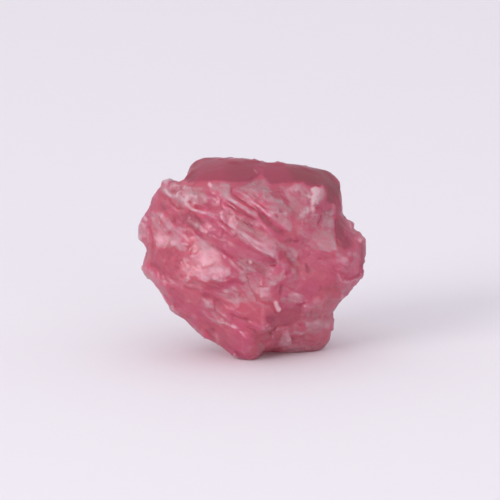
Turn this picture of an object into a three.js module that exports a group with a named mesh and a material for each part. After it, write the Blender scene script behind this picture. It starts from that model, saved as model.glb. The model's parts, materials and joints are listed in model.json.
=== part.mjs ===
// A raw spinel crystal: one water-worn, broken grain of pink spinel, about 6 mm across.
// Millimetres, +Z up, -Y towards the best face. The stone rests on a small flat break, and the origin is the
// middle of its bounding box at that resting plane.
//
// The stone is described in the frame of its best face: across (to the right), up, and out (forwards).
// A sphere of directions is pushed out to the stone's outline and depth, cut by broken faces, and given its
// humps, grooves and parting ledges. It is then leaned back to the pose that it rests in.
import * as THREE from "three";
import { mergeVertices } from "three/addons/utils/BufferGeometryUtils.js";
import { ImprovedNoise } from "three/addons/math/ImprovedNoise.js";

// Driving dimensions.
const SPHERE_DETAIL = 21; // 20 * (detail + 1)^2 triangles
const DEPTH_FRONT = 2.25; // from the stone's middle to its best face
const DEPTH_BACK = 2.2; // from the stone's middle to its far side
const FRONT_SQUARENESS = 2.7; // 2 is an ellipse, more is boxier
const BACK_SQUARENESS = 2.3;
const FACE_CRISPNESS = 20; // how sharply two broken faces meet
const OUTLINE_STEPS = 1440; // points read along the smooth outline
const LEAN_BACK = THREE.MathUtils.degToRad(12); // from upright to the pose that it rests in
const REST_LEVEL = -2.42; // height of the resting break below the stone's middle

// The outline of the best face, anticlockwise from its right-hand side, as [across, up].
const OUTLINE = [
  // right lobe and the notch of the right shoulder
  [3.01, 0.1], [2.94, 0.47], [2.78, 0.68], [2.63, 0.82], [2.56, 0.97], [2.41, 1.04], [2.36, 1.25],
  // upper right corner
  [2.38, 1.6], [2.33, 1.94], [2.13, 2.24],
  // top
  [1.6, 2.38], [1.0, 2.46], [0.3, 2.52], [-0.5, 2.62], [-1.3, 2.6],
  // the step down to the small knob, and the knob
  [-1.56, 2.43], [-1.68, 2.1], [-1.9, 1.95], [-2.02, 2.0], [-2.18, 1.99], [-2.34, 1.86], [-2.4, 1.76],
  // left lobe and the notch below it
  [-2.58, 1.58], [-2.75, 1.22], [-2.89, 0.97], [-3.02, 0.78], [-2.95, 0.57], [-2.74, 0.33], [-2.64, 0.12],
  // lower left shoulder and the long straight slope
  [-2.74, -0.1], [-2.79, -0.27], [-2.67, -0.52], [-2.28, -0.97], [-2.12, -1.3], [-1.96, -1.45],
  [-1.72, -1.55], [-1.38, -1.89], [-0.71, -2.32],
  // toe, and the cleft between the toe and the right foot
  [-0.34, -2.61], [-0.03, -2.69], [0.25, -2.58], [0.42, -2.42],
  // right foot
  [0.7, -2.44], [1.26, -2.49], [1.92, -2.52], [2.15, -2.31], [2.22, -1.94], [2.18, -1.57],
  // the nick above the foot, and the slope up to the right lobe
  [2.16, -1.41], [2.23, -1.3], [2.55, -0.96], [2.89, -0.57], [3.0, -0.22],
];

// Broken faces: the way each faces as [across, up, out], and its distance from the stone's middle.
const BROKEN_FACES = [
  { faces: [0.05, 0.78, 0.62], distance: 2.45 }, // brow
  { faces: [0.42, -0.12, 0.9], distance: 2.2 }, // right cheek
  { faces: [-0.45, -0.6, 0.66], distance: 2.2 }, // long slope
  { faces: [-0.72, 0.1, 0.69], distance: 2.4 }, // left cheek
  { faces: [-0.1, 0.05, 0.99], distance: 2.05 }, // front
  { faces: [0.5, -0.62, 0.6], distance: 2.25 }, // lower right
  { faces: [0.55, 0.45, 0.7], distance: 2.5 }, // upper right
  { faces: [0.1, 0.15, -0.98], distance: 2.05 }, // back
  { faces: [-0.68, 0.15, -0.72], distance: 2.05 }, // back left
  { faces: [0.2, -0.62, -0.76], distance: 2.35 }, // back foot
  { faces: [0.66, 0.3, -0.69], distance: 2.45 }, // back right
  { faces: [-0.25, 0.78, -0.57], distance: 2.35 }, // back crown
  { faces: [-0.5, -0.55, -0.67], distance: 2.1 }, // back shoulder
  { faces: [0.93, -0.3, -0.2], distance: 2.85 }, // right flank
];

// Humps (rise > 0) and hollows (rise < 0) of the best face and of the far side.
const FRONT = 1;
const BACK = -1;
const SWELLS = [
  { side: FRONT, at: [-1.1, -0.12], reach: [0.8, 0.5], turn: -10, rise: 0.26 }, // pale hump
  { side: FRONT, at: [-0.95, -0.45], reach: [0.5, 0.22], turn: 4, rise: 0.16 }, // pale hump foot
  { side: FRONT, at: [-0.98, -0.74], reach: [0.6, 0.1], turn: 6, rise: -0.1 }, // smile groove
  { side: FRONT, at: [-2.2, 0.75], reach: [0.22, 0.62], turn: 28, rise: 0.16 }, // left lobe rib
  { side: FRONT, at: [-1.78, 0.55], reach: [0.2, 0.62], turn: 38, rise: 0.14 }, // second lobe rib
  { side: FRONT, at: [-2.5, 0.7], reach: [0.09, 0.6], turn: 6, rise: -0.12 }, // lobe gutter
  { side: FRONT, at: [-1.75, 1.5], reach: [0.55, 0.28], turn: -15, rise: 0.18 }, // knobbly shoulder
  { side: FRONT, at: [-1.85, 1.08], reach: [0.62, 0.12], turn: -42, rise: -0.12 }, // shoulder gutter
  { side: FRONT, at: [2.52, -0.05], reach: [0.32, 0.45], turn: 0, rise: 0.26 }, // right lobe knob
  { side: FRONT, at: [1.5, -2.0], reach: [0.6, 0.4], turn: 10, rise: 0.34 }, // right foot
  { side: FRONT, at: [-0.2, -2.25], reach: [0.5, 0.42], turn: -35, rise: 0.3 }, // toe
  { side: FRONT, at: [1.62, 1.45], reach: [0.18, 0.5], turn: -32, rise: 0.2 }, // upper right rib
  { side: FRONT, at: [1.95, 1.0], reach: [0.12, 0.32], turn: -12, rise: -0.14 }, // upper right dimple
  { side: FRONT, at: [0.35, 1.65], reach: [0.42, 0.24], turn: -25, rise: 0.12 }, // brow plate
  { side: FRONT, at: [0.75, 1.7], reach: [0.2, 0.14], turn: -30, rise: -0.12 }, // brow pit
  { side: FRONT, at: [-0.7, -1.75], reach: [0.75, 0.16], turn: -24, rise: 0.14 }, // lower streak
  { side: FRONT, at: [0.45, -0.95], reach: [0.3, 0.24], turn: 30, rise: 0.12 }, // middle knob
  { side: FRONT, at: [0.78, -0.75], reach: [0.1, 0.3], turn: -12, rise: -0.08 }, // middle slot
  { side: FRONT, at: [1.2, -0.98], reach: [0.32, 0.18], turn: -12, rise: 0.14 }, // lower plate
  { side: FRONT, at: [-0.1, 0.17], reach: [1.1, 0.2], turn: -31, rise: -0.1 }, // band hollow
  { side: FRONT, at: [-1.43, 0.26], reach: [0.26, 0.12], turn: 15, rise: -0.1 }, // little hollow
  { side: FRONT, at: [0.45, -2.15], reach: [0.14, 0.65], turn: -12, rise: -0.22 }, // cleft
  { side: FRONT, at: [1.05, -1.5], reach: [0.6, 0.16], turn: 8, rise: -0.18 }, // red hollow
  { side: FRONT, at: [2.25, 0.7], reach: [0.14, 0.75], turn: 20, rise: -0.16 }, // shoulder groove
  { side: BACK, at: [0.9, 0.5], reach: [0.9, 0.6], turn: 20, rise: 0.3 }, // back hump
  { side: BACK, at: [-1.2, 1.1], reach: [0.6, 0.45], turn: -30, rise: 0.26 }, // back knob
  { side: BACK, at: [0.6, -1.7], reach: [1.0, 0.5], turn: 5, rise: 0.36 }, // back heel
  { side: BACK, at: [0.0, -0.5], reach: [1.5, 0.16], turn: -28, rise: -0.3 }, // back furrow
  { side: BACK, at: [-1.5, -0.4], reach: [0.4, 0.5], turn: 15, rise: -0.3 }, // back bite
  { side: BACK, at: [1.9, -0.6], reach: [0.16, 0.8], turn: -20, rise: -0.26 }, // back groove
  { side: BACK, at: [0.2, 1.5], reach: [0.9, 0.16], turn: 24, rise: 0.2 }, // back rib
];

// Ledges where the stone parted in steps: a crest from one end to the other, steep below it and gentle above.
const LEDGES = [
  { from: [-0.95, 0.98], to: [0.55, 0.12], rise: 0.18, below: 0.16, above: 0.34 }, // white ledge
  { from: [-1.0, 1.62], to: [0.55, 0.62], rise: 0.12, below: 0.15, above: 0.26 }, // dark ledge
  { from: [-0.2, 1.6], to: [1.15, 0.62], rise: 0.16, below: 0.15, above: 0.28 }, // long ledge
  { from: [-2.2, 1.68], to: [-0.85, 1.05], rise: 0.12, below: 0.15, above: 0.24 }, // left ledge
  { from: [-0.65, 0.15], to: [0.1, -0.55], rise: 0.12, below: 0.14, above: 0.24 }, // low ledge
  { from: [1.35, 0.55], to: [2.2, 0.15], rise: 0.12, below: 0.16, above: 0.3 }, // smooth cheek edge
];

// Parting runs through the whole stone, so its ledges come out on every side.
const PARTING = { faces: [0.46, 0.74, 0.49], pitch: 0.66, rise: 0.15, steepShare: 0.42 };
const PARTING_BEND = { size: 1.9, rise: 0.75, shift: 3.1 };
const PARTING_PATCHES = { size: 1.4, from: -0.35, to: 0.25, shift: 7.3 };
// Small flat breaks that meet in blunt edges all over the stone.
const CHIPS = { count: 90, scatter: 0.35, tilt: 0.24, step: 0.05, flatness: 0.3, highest: 0.1, seed: 11 };
const LUMPS = { size: 0.85, rise: 0.12, shift: 0.4 };
const GRAIN = { size: 0.34, rise: 0.04, shift: 5.9 };

const SWELL_FLATNESS = 1.3; // 1 is a bell, more has a flatter top
const LEDGE_END = 0.16; // share of a ledge's length in which it fades out
// How far a direction turns out of the outline (0) to the face (1) while the face's own relief comes in.
const FACE_FADE = { from: 0.1, to: 0.6 };
// The outline is already true, so only a share of the all-round relief is kept along it.
const EDGE_FADE = { from: 0.08, to: 0.55, kept: 0.2 };

const { degToRad, lerp, smoothstep } = THREE.MathUtils;
const noise = new ImprovedNoise();

// Smooth noise between about -1 and 1, with lumps of the given size; the shift picks a different run of it.
function noiseAt(p, { size, shift }) {
  return noise.noise(p.x / size + shift, p.y / size + 2 * shift, p.z / size - shift);
}

// The outline's radius at any angle, read from a smooth closed curve through its points.
function makeOutlineRadius() {
  const points = OUTLINE.map(([across, up]) => new THREE.Vector3(across, up, 0));
  const curve = new THREE.CatmullRomCurve3(points, true, "centripetal");
  const rim = curve.getPoints(OUTLINE_STEPS);
  const polar = rim.map((p) => ({ angle: Math.atan2(p.y, p.x), radius: Math.hypot(p.x, p.y) }));
  polar.sort((a, b) => a.angle - b.angle);
  const first = polar[0];
  const last = polar[polar.length - 1];
  polar.unshift({ angle: last.angle - 2 * Math.PI, radius: last.radius });
  polar.push({ angle: first.angle + 2 * Math.PI, radius: first.radius });
  return (angle) => {
    let low = 0;
    let high = polar.length - 1;
    while (high - low > 1) {
      const middle = (low + high) >> 1;
      if (polar[middle].angle <= angle) low = middle;
      else high = middle;
    }
    const share = (angle - polar[low].angle) / Math.max(polar[high].angle - polar[low].angle, 1e-9);
    return lerp(polar[low].radius, polar[high].radius, share);
  };
}

// The stone's radius along a direction before any relief: its outline and depth, cut by the broken faces.
function bodyRadius(direction, outlineRadius) {
  const inPlane = Math.hypot(direction.x, direction.y);
  const outline = outlineRadius(Math.atan2(direction.y, direction.x));
  const front = direction.z >= 0;
  const depth = front ? DEPTH_FRONT : DEPTH_BACK;
  const squareness = front ? FRONT_SQUARENESS : BACK_SQUARENESS;
  const round =
    ((inPlane / outline) ** squareness + (Math.abs(direction.z) / depth) ** squareness) ** (-1 / squareness);
  let sum = round ** -FACE_CRISPNESS;
  for (const face of BROKEN_FACES) {
    const facing = direction.dot(new THREE.Vector3(...face.faces).normalize());
    if (facing > 0.05) sum += (face.distance / facing) ** -FACE_CRISPNESS;
  }
  return sum ** (-1 / FACE_CRISPNESS);
}

// A repeatable run of random numbers from 0 to 1.
function makeRandom(seed) {
  let state = seed;
  return () => {
    state = (state + 0x6d2b79f5) | 0;
    let t = Math.imul(state ^ (state >>> 15), 1 | state);
    t = (t + Math.imul(t ^ (t >>> 7), 61 | t)) ^ t;
    return ((t ^ (t >>> 14)) >>> 0) / 4294967296;
  };
}

// Chips spread evenly over the stone, each with its own small tilt and depth.
function makeChips(outlineRadius) {
  const random = makeRandom(CHIPS.seed);
  const either = (reach) => reach * (2 * random() - 1);
  const eitherWay = (reach) => new THREE.Vector3(either(reach), either(reach), either(reach));
  const goldenAngle = Math.PI * (3 - Math.sqrt(5));
  const chips = [];
  for (let i = 0; i < CHIPS.count; i++) {
    const height = 1 - (2 * i + 1) / CHIPS.count;
    const ring = Math.sqrt(1 - height * height);
    const angle = i * goldenAngle;
    const direction = new THREE.Vector3(ring * Math.cos(angle), ring * Math.sin(angle), height);
    direction.add(eitherWay(CHIPS.scatter)).normalize();
    chips.push({
      at: direction.clone().multiplyScalar(bodyRadius(direction, outlineRadius)),
      tilt: eitherWay(CHIPS.tilt),
      step: either(CHIPS.step),
    });
  }
  return chips;
}

// How far the surface at a point lies above the rounded body: the lowest of the flat breaks that reach it.
function chipHeight(chips, p) {
  let lowest = CHIPS.highest;
  for (const chip of chips) {
    const offset = p.clone().sub(chip.at);
    const flat = chip.step + offset.dot(chip.tilt) + CHIPS.flatness * offset.lengthSq();
    lowest = Math.min(lowest, flat);
  }
  return lowest;
}

// A smooth hump or hollow with an oval foot.
function swellHeight(swell, across, up) {
  const turn = degToRad(swell.turn);
  const dx = across - swell.at[0];
  const dy = up - swell.at[1];
  const along = (dx * Math.cos(turn) + dy * Math.sin(turn)) / swell.reach[0];
  const beside = (dy * Math.cos(turn) - dx * Math.sin(turn)) / swell.reach[1];
  return swell.rise * Math.exp(-((along * along + beside * beside) ** SWELL_FLATNESS));
}

// A crest that drops off steeply below and gently above, fading out past its two ends.
function ledgeHeight(ledge, across, up) {
  const run = new THREE.Vector2(ledge.to[0] - ledge.from[0], ledge.to[1] - ledge.from[1]);
  const length = run.length();
  run.normalize();
  const dx = across - ledge.from[0];
  const dy = up - ledge.from[1];
  const along = dx * run.x + dy * run.y;
  const beside = dy * run.x - dx * run.y;
  const past = Math.max(-along, along - length, 0) / (LEDGE_END * length);
  const width = beside < 0 ? ledge.below : ledge.above;
  return ledge.rise * Math.exp(-((beside / width) ** 2) - past * past);
}

// Steps of the parting that runs through the stone: a sawtooth, bent by noise and strong only in places.
function partingHeight(p) {
  const across = new THREE.Vector3(...PARTING.faces).normalize();
  const layer = p.dot(across) / PARTING.pitch + PARTING_BEND.rise * noiseAt(p, PARTING_BEND);
  const share = layer - Math.floor(layer);
  const gentle = 1 - PARTING.steepShare;
  const tooth = share < gentle ? share / gentle : (1 - share) / PARTING.steepShare;
  const strength = smoothstep(noiseAt(p, PARTING_PATCHES), PARTING_PATCHES.from, PARTING_PATCHES.to);
  return PARTING.rise * strength * (tooth - 0.5);
}

// A point of the stone's surface along a direction, in the frame of its best face.
function surfacePoint(direction, outlineRadius, chips) {
  const p = direction.clone().multiplyScalar(bodyRadius(direction, outlineRadius));
  const side = direction.z >= 0 ? FRONT : BACK;
  const turned = Math.abs(direction.z);
  const faceOn = smoothstep(turned, FACE_FADE.from, FACE_FADE.to);
  let relief = 0;
  for (const swell of SWELLS) if (swell.side === side) relief += swellHeight(swell, p.x, p.y);
  if (side === FRONT) for (const ledge of LEDGES) relief += ledgeHeight(ledge, p.x, p.y);
  const allRound =
    partingHeight(p) +
    chipHeight(chips, p) +
    LUMPS.rise * noiseAt(p, LUMPS) +
    GRAIN.rise * noiseAt(p, GRAIN);
  const keep = lerp(EDGE_FADE.kept, 1, smoothstep(turned, EDGE_FADE.from, EDGE_FADE.to));
  p.addScaledVector(direction, allRound * keep);
  p.z += side * relief * faceOn;
  return p;
}

// Leans the stone back to its resting pose and flattens the break that it rests on.
function settle(points) {
  const across = new THREE.Vector3(1, 0, 0);
  const up = new THREE.Vector3(0, Math.sin(LEAN_BACK), Math.cos(LEAN_BACK));
  const out = new THREE.Vector3(0, -Math.cos(LEAN_BACK), Math.sin(LEAN_BACK));
  const toRest = new THREE.Matrix4().makeBasis(across, up, out);
  for (const p of points) {
    p.applyMatrix4(toRest);
    p.z = Math.max(p.z, REST_LEVEL);
  }
  const box = new THREE.Box3().setFromPoints(points);
  const middle = box.getCenter(new THREE.Vector3());
  for (const p of points) p.sub(new THREE.Vector3(middle.x, middle.y, REST_LEVEL));
}

function makeCrystalGeometry() {
  const sphere = new THREE.IcosahedronGeometry(1, SPHERE_DETAIL);
  sphere.deleteAttribute("normal");
  sphere.deleteAttribute("uv");
  const geometry = mergeVertices(sphere);
  const position = geometry.getAttribute("position");
  const outlineRadius = makeOutlineRadius();
  const chips = makeChips(outlineRadius);
  const points = [];
  for (let i = 0; i < position.count; i++) {
    const direction = new THREE.Vector3().fromBufferAttribute(position, i).normalize();
    points.push(surfacePoint(direction, outlineRadius, chips));
  }
  settle(points);
  points.forEach((p, i) => position.setXYZ(i, p.x, p.y, p.z));
  geometry.computeVertexNormals();
  return geometry;
}

function makeCrystal() {
  const material = new THREE.MeshStandardMaterial({ color: 0xb85470, roughness: 0.35, metalness: 0 });
  const crystal = new THREE.Mesh(makeCrystalGeometry(), material);
  crystal.name = "crystal";
  return crystal;
}

const part = new THREE.Group();
part.add(makeCrystal());
export default part;
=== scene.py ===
"""A raw spinel crystal, dressed on its CAD solid: one rough grain of pink, half clear spinel on a pale table.

The CAD solid is refined into a finer mesh, which gets the fine relief of the stone: ledges, ribs, grooves,
chips and grain. The same features leave values on the mesh that its material reads: where the skin is
frosted, where it is deep and wet-looking, partly darkened with painted shade, where it is whiter, partly with
painted highlights and glints, and where an edge gets a painted highlight or a hollow painted shade.

The meshes are in metres, and names that end in mm are in millimetres. The numbers of a mark are hundredths:
of a millimetre for places and sizes, and of a whole for frost and for whitening, which is partly painted
highlights and glints.
"""

import json
import logging
import math
from dataclasses import dataclass
from enum import Enum
from itertools import cycle, islice

import bpy
import numpy as np
from mathutils import Matrix, Vector
from mathutils.kdtree import KDTree

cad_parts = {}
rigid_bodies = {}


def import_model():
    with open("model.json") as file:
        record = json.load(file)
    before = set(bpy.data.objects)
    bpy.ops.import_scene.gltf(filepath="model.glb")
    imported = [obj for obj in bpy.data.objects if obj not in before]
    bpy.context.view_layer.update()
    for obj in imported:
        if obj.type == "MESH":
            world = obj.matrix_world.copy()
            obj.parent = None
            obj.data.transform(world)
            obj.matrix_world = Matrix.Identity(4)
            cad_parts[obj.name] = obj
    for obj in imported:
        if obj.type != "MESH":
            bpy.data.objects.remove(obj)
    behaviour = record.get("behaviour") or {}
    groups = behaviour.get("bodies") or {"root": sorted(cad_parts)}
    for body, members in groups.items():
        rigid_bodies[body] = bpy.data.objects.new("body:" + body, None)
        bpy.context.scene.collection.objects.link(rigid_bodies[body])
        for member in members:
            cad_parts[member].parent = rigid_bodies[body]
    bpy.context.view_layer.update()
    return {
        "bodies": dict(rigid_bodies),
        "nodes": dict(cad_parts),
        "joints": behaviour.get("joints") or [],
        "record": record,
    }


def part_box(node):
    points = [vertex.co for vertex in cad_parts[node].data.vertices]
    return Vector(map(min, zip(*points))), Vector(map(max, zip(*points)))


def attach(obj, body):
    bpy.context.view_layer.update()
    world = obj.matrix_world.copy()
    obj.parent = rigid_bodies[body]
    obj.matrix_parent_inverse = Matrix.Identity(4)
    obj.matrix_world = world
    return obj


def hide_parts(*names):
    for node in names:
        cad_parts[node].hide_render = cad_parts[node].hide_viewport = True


log = logging.getLogger("spinel")

MM = 0.001
HUNDREDTH = 0.01

# The best face looks forwards and a little up. Its own frame is across, up and out.
LEAN_BACK = math.radians(12.0)
FACE_MIDDLE_MM = (-0.050, 0.049, 2.42)
FACE_AXES = np.array(
    [
        [1.0, 0.0, 0.0],
        [0.0, math.sin(LEAN_BACK), math.cos(LEAN_BACK)],
        [0.0, -math.cos(LEAN_BACK), math.sin(LEAN_BACK)],
    ]
)
# The way in which the stone's parting planes face, in the face frame.
PARTING_FACES = np.array([0.46, 0.74, 0.49]) / np.linalg.norm([0.46, 0.74, 0.49])
# Across the parting (last column), and along it: down the best face (first) and into the stone (second).
PARTING_RUN = np.array([0.85, -0.53, 0.0])
PARTING_GRID = np.stack([PARTING_RUN, np.cross(PARTING_FACES, PARTING_RUN), PARTING_FACES], axis=1)
SKIN_AREA_MM2 = 95.0

Path = tuple[tuple[float, float], ...]
Span = tuple[float, float]
Triple = tuple[float, float, float]
Colour = Triple
Touch = Triple
Feed = float | Colour | bpy.types.NodeSocket


class Look(Enum):
    """What the mesh keeps about its skin for the material to read."""

    FROST = "frost"
    DEEP = "deep"
    WHITE_AND_HIGHLIGHT = "white_and_highlight"
    CREST = "crest"
    HOLLOW = "hollow"
    LIVELY = "lively"


def smoothstep(low: float, high: float, value: np.ndarray) -> np.ndarray:
    """Eases a value from 0 at low to 1 at high.

    Args:
        low: The value that gives 0.
        high: The value that gives 1.
        value: The values to ease.

    Returns:
        The eased values, the same shape as value.
    """
    share = np.clip((value - low) / (high - low), 0.0, 1.0)
    return share * share * (3.0 - 2.0 * share)


class LatticeNoise:
    """Smooth gradient noise in three dimensions, the same on every run."""

    CELLS = 256
    GAIN = 1.6
    FINER = 2.03
    FAINTER = 0.5
    APART = 7.7

    def __init__(self, seed: int) -> None:
        """Deals the lattice its gradients.

        Args:
            seed: Picks one run of noise.
        """
        dealer = np.random.default_rng(seed)
        self.table = np.tile(dealer.permutation(self.CELLS), 3)
        gradients = dealer.normal(size=(self.CELLS, 3))
        self.gradients = gradients / np.linalg.norm(gradients, axis=1, keepdims=True)

    def at(self, points: np.ndarray) -> np.ndarray:
        """Reads the noise.

        Args:
            points: Places to read, one row each, in lattice steps.

        Returns:
            One value for each row, between about -1 and 1.
        """
        cell = np.floor(points).astype(np.int64)
        inside = points - cell
        # The ease has no slope and no bend where two cells meet.
        ease = inside**3 * (inside * (inside * 6.0 - 15.0) + 10.0)
        cell %= self.CELLS
        total = np.zeros(len(points))
        for corner in np.ndindex(2, 2, 2):
            step = np.array(corner)
            x, y, z = (cell + step).T
            pick = self.table[self.table[self.table[x] + y] + z]
            pull = np.einsum("ij,ij->i", self.gradients[pick], inside - step)
            total += np.prod(np.where(step, ease, 1.0 - ease), axis=1) * pull
        return total * self.GAIN

    def octaves(self, points: np.ndarray, count: int = 2) -> np.ndarray:
        """Adds finer and fainter runs of the noise.

        Args:
            points: Places to read, one row each, in steps of the coarsest run.
            count: How many runs to add.

        Returns:
            One value for each row, between about -1 and 1.
        """
        total = np.zeros(len(points))
        for run in range(count):
            total += self.FAINTER**run * self.at(points * self.FINER**run + self.APART * run)
        return total


SWAYS, GRAINS, PATCHES, LAYER_BENDS, LAYERS = (LatticeNoise(seed) for seed in (3, 9, 12, 21, 22))
SWAY_APART = 31.0
LAYER_BEND_MM = 0.12
LAYER_BEND_SIZE_MM = 0.9
LAYER_LENGTH_MM = 0.75
LAYER_THICK_MM = 0.13


def sway(place: np.ndarray, size: float) -> np.ndarray:
    """Bends places a little, so that nothing runs too straight.

    Args:
        place: Points in the face frame, one row each, in millimetres.
        size: Size of the bends, in millimetres.

    Returns:
        A shift for each point, each part between about -1 and 1.
    """
    return np.stack([SWAYS.octaves(place / size + SWAY_APART * axis) for axis in range(3)], axis=1)


def streaks(place: np.ndarray) -> np.ndarray:
    """Reads the stone's thin parting layers, which show as streaks on every side.

    Args:
        place: Points in the face frame, one row each, in millimetres.

    Returns:
        A value between about -1 and 1 for each point.
    """
    depth = place @ PARTING_FACES
    level = place - depth[:, None] * PARTING_FACES
    depth += LAYER_BEND_MM * LAYER_BENDS.octaves(place / LAYER_BEND_SIZE_MM)
    return LAYERS.octaves(level / LAYER_LENGTH_MM + (depth / LAYER_THICK_MM)[:, None] * PARTING_FACES)


@dataclass(frozen=True)
class Mark:
    """One mark on a side of the stone, as it is seen from straight in front of that side.

    Attributes:
        rise: Its height, below 0 for a hollow.
        frost: How much frostier its skin is, below 0 for clearer and darker skin, which in places is painted
            shade.
        white_and_highlight: How much whiter its skin is, partly whitish frost and inclusions, partly painted
            highlights and glints.
    """

    rise: float
    frost: float
    white_and_highlight: float

    def profile(self, seen: np.ndarray) -> np.ndarray:
        """Says how much of the mark each point has.

        Args:
            seen: Points as (across, up), one row each.

        Returns:
            A share from 0 to 1 for each point.
        """
        raise NotImplementedError

    def lift(self, seen: np.ndarray) -> float | np.ndarray:
        """Gives the mark's height, one for all points or one for each."""
        return self.rise


@dataclass(frozen=True)
class Stroke(Mark):
    """A rib, a step or a groove along a path, with half its width to the left and to the right."""

    left: float
    right: float
    path: Path

    END_SHARE = 0.22
    END_HEIGHT = 0.25

    def profile(self, seen: np.ndarray) -> np.ndarray:
        """Says how much of the stroke each point has: most along its path, and less at the ends.

        Args:
            seen: Points as (across, up), one row each.

        Returns:
            A share from 0 to 1 for each point.
        """
        nodes = np.array(self.path)
        nearest = np.full(len(seen), np.inf)
        beside = np.zeros(len(seen))
        along = np.zeros(len(seen))
        begun = 0.0
        for start, end in zip(nodes[:-1], nodes[1:]):
            length = np.linalg.norm(end - start)
            run = (end - start) / length
            offset = seen - start
            reach = np.clip(offset @ run, 0.0, length)
            away = offset - reach[:, None] * run
            distance = np.linalg.norm(away, axis=1)
            nearer = distance < nearest
            nearest = np.where(nearer, distance, nearest)
            beside = np.where(nearer, run[0] * away[:, 1] - run[1] * away[:, 0], beside)
            along = np.where(nearer, begun + reach, along)
            begun += length
        share = along / begun
        ends = smoothstep(0.0, self.END_SHARE, share) * smoothstep(0.0, self.END_SHARE, 1.0 - share)
        bell = np.exp(-((nearest / np.where(beside >= 0.0, self.left, self.right)) ** 2))
        return bell * (self.END_HEIGHT + (1.0 - self.END_HEIGHT) * ends)


@dataclass(frozen=True)
class Spot(Mark):
    """An oval hump, plate or hollow.

    Attributes:
        oval: Its middle, and its two half sizes.
        turn: How far the first half size is turned from across, in degrees.
        flat: 1 for a bell, more for a flat top with a steeper rim.
    """

    oval: Path
    turn: float = 0.0
    flat: float = 1.5

    def profile(self, seen: np.ndarray) -> np.ndarray:
        """Says how much of the spot each point has: most in its middle.

        Args:
            seen: Points as (across, up), one row each.

        Returns:
            A share from 0 to 1 for each point.
        """
        middle, (long, wide) = self.oval
        turn = math.radians(self.turn)
        across, up = (seen - np.array(middle)).T
        along = (across * math.cos(turn) + up * math.sin(turn)) / long
        beside = (up * math.cos(turn) - across * math.sin(turn)) / wide
        return np.exp(-((along**2 + beside**2) ** self.flat))


@dataclass(frozen=True)
class Facet(Mark):
    """A flat break with straight sides, a soft border, and a tilt that lifts it across and up."""

    soft: float
    corners: Path
    tilt: Span = (0.0, 0.0)

    def profile(self, seen: np.ndarray) -> np.ndarray:
        """Says how much of the facet each point has: all inside its border.

        Args:
            seen: Points as (across, up), one row each.

        Returns:
            A share from 0 to 1 for each point.
        """
        starts = np.array(self.corners)
        nearest = np.full(len(seen), np.inf)
        inside = np.zeros(len(seen), dtype=bool)
        for start, end in zip(starts, np.roll(starts, -1, axis=0)):
            run = end - start
            offset = seen - start
            reach = np.clip(offset @ run / (run @ run), 0.0, 1.0)
            nearest = np.minimum(nearest, np.linalg.norm(offset - reach[:, None] * run, axis=1))
            # A level side spans no point, so what its run is divided by doesn't matter.
            spans = (start[1] > seen[:, 1]) != (end[1] > seen[:, 1])
            inside ^= spans & (offset[:, 0] < offset[:, 1] * run[0] / (run[1] or 1.0))
        return smoothstep(-0.5 * self.soft, 0.5 * self.soft, np.where(inside, nearest, -nearest))

    def lift(self, seen: np.ndarray) -> np.ndarray:
        """Gives the facet's height at each point."""
        return self.rise + (seen - np.array(self.corners).mean(axis=0)) @ np.array(self.tilt)


def at(*numbers: float) -> Path:
    """Pairs up numbers into points, as (across, up)."""
    return tuple(zip(numbers[::2], numbers[1::2]))
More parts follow.
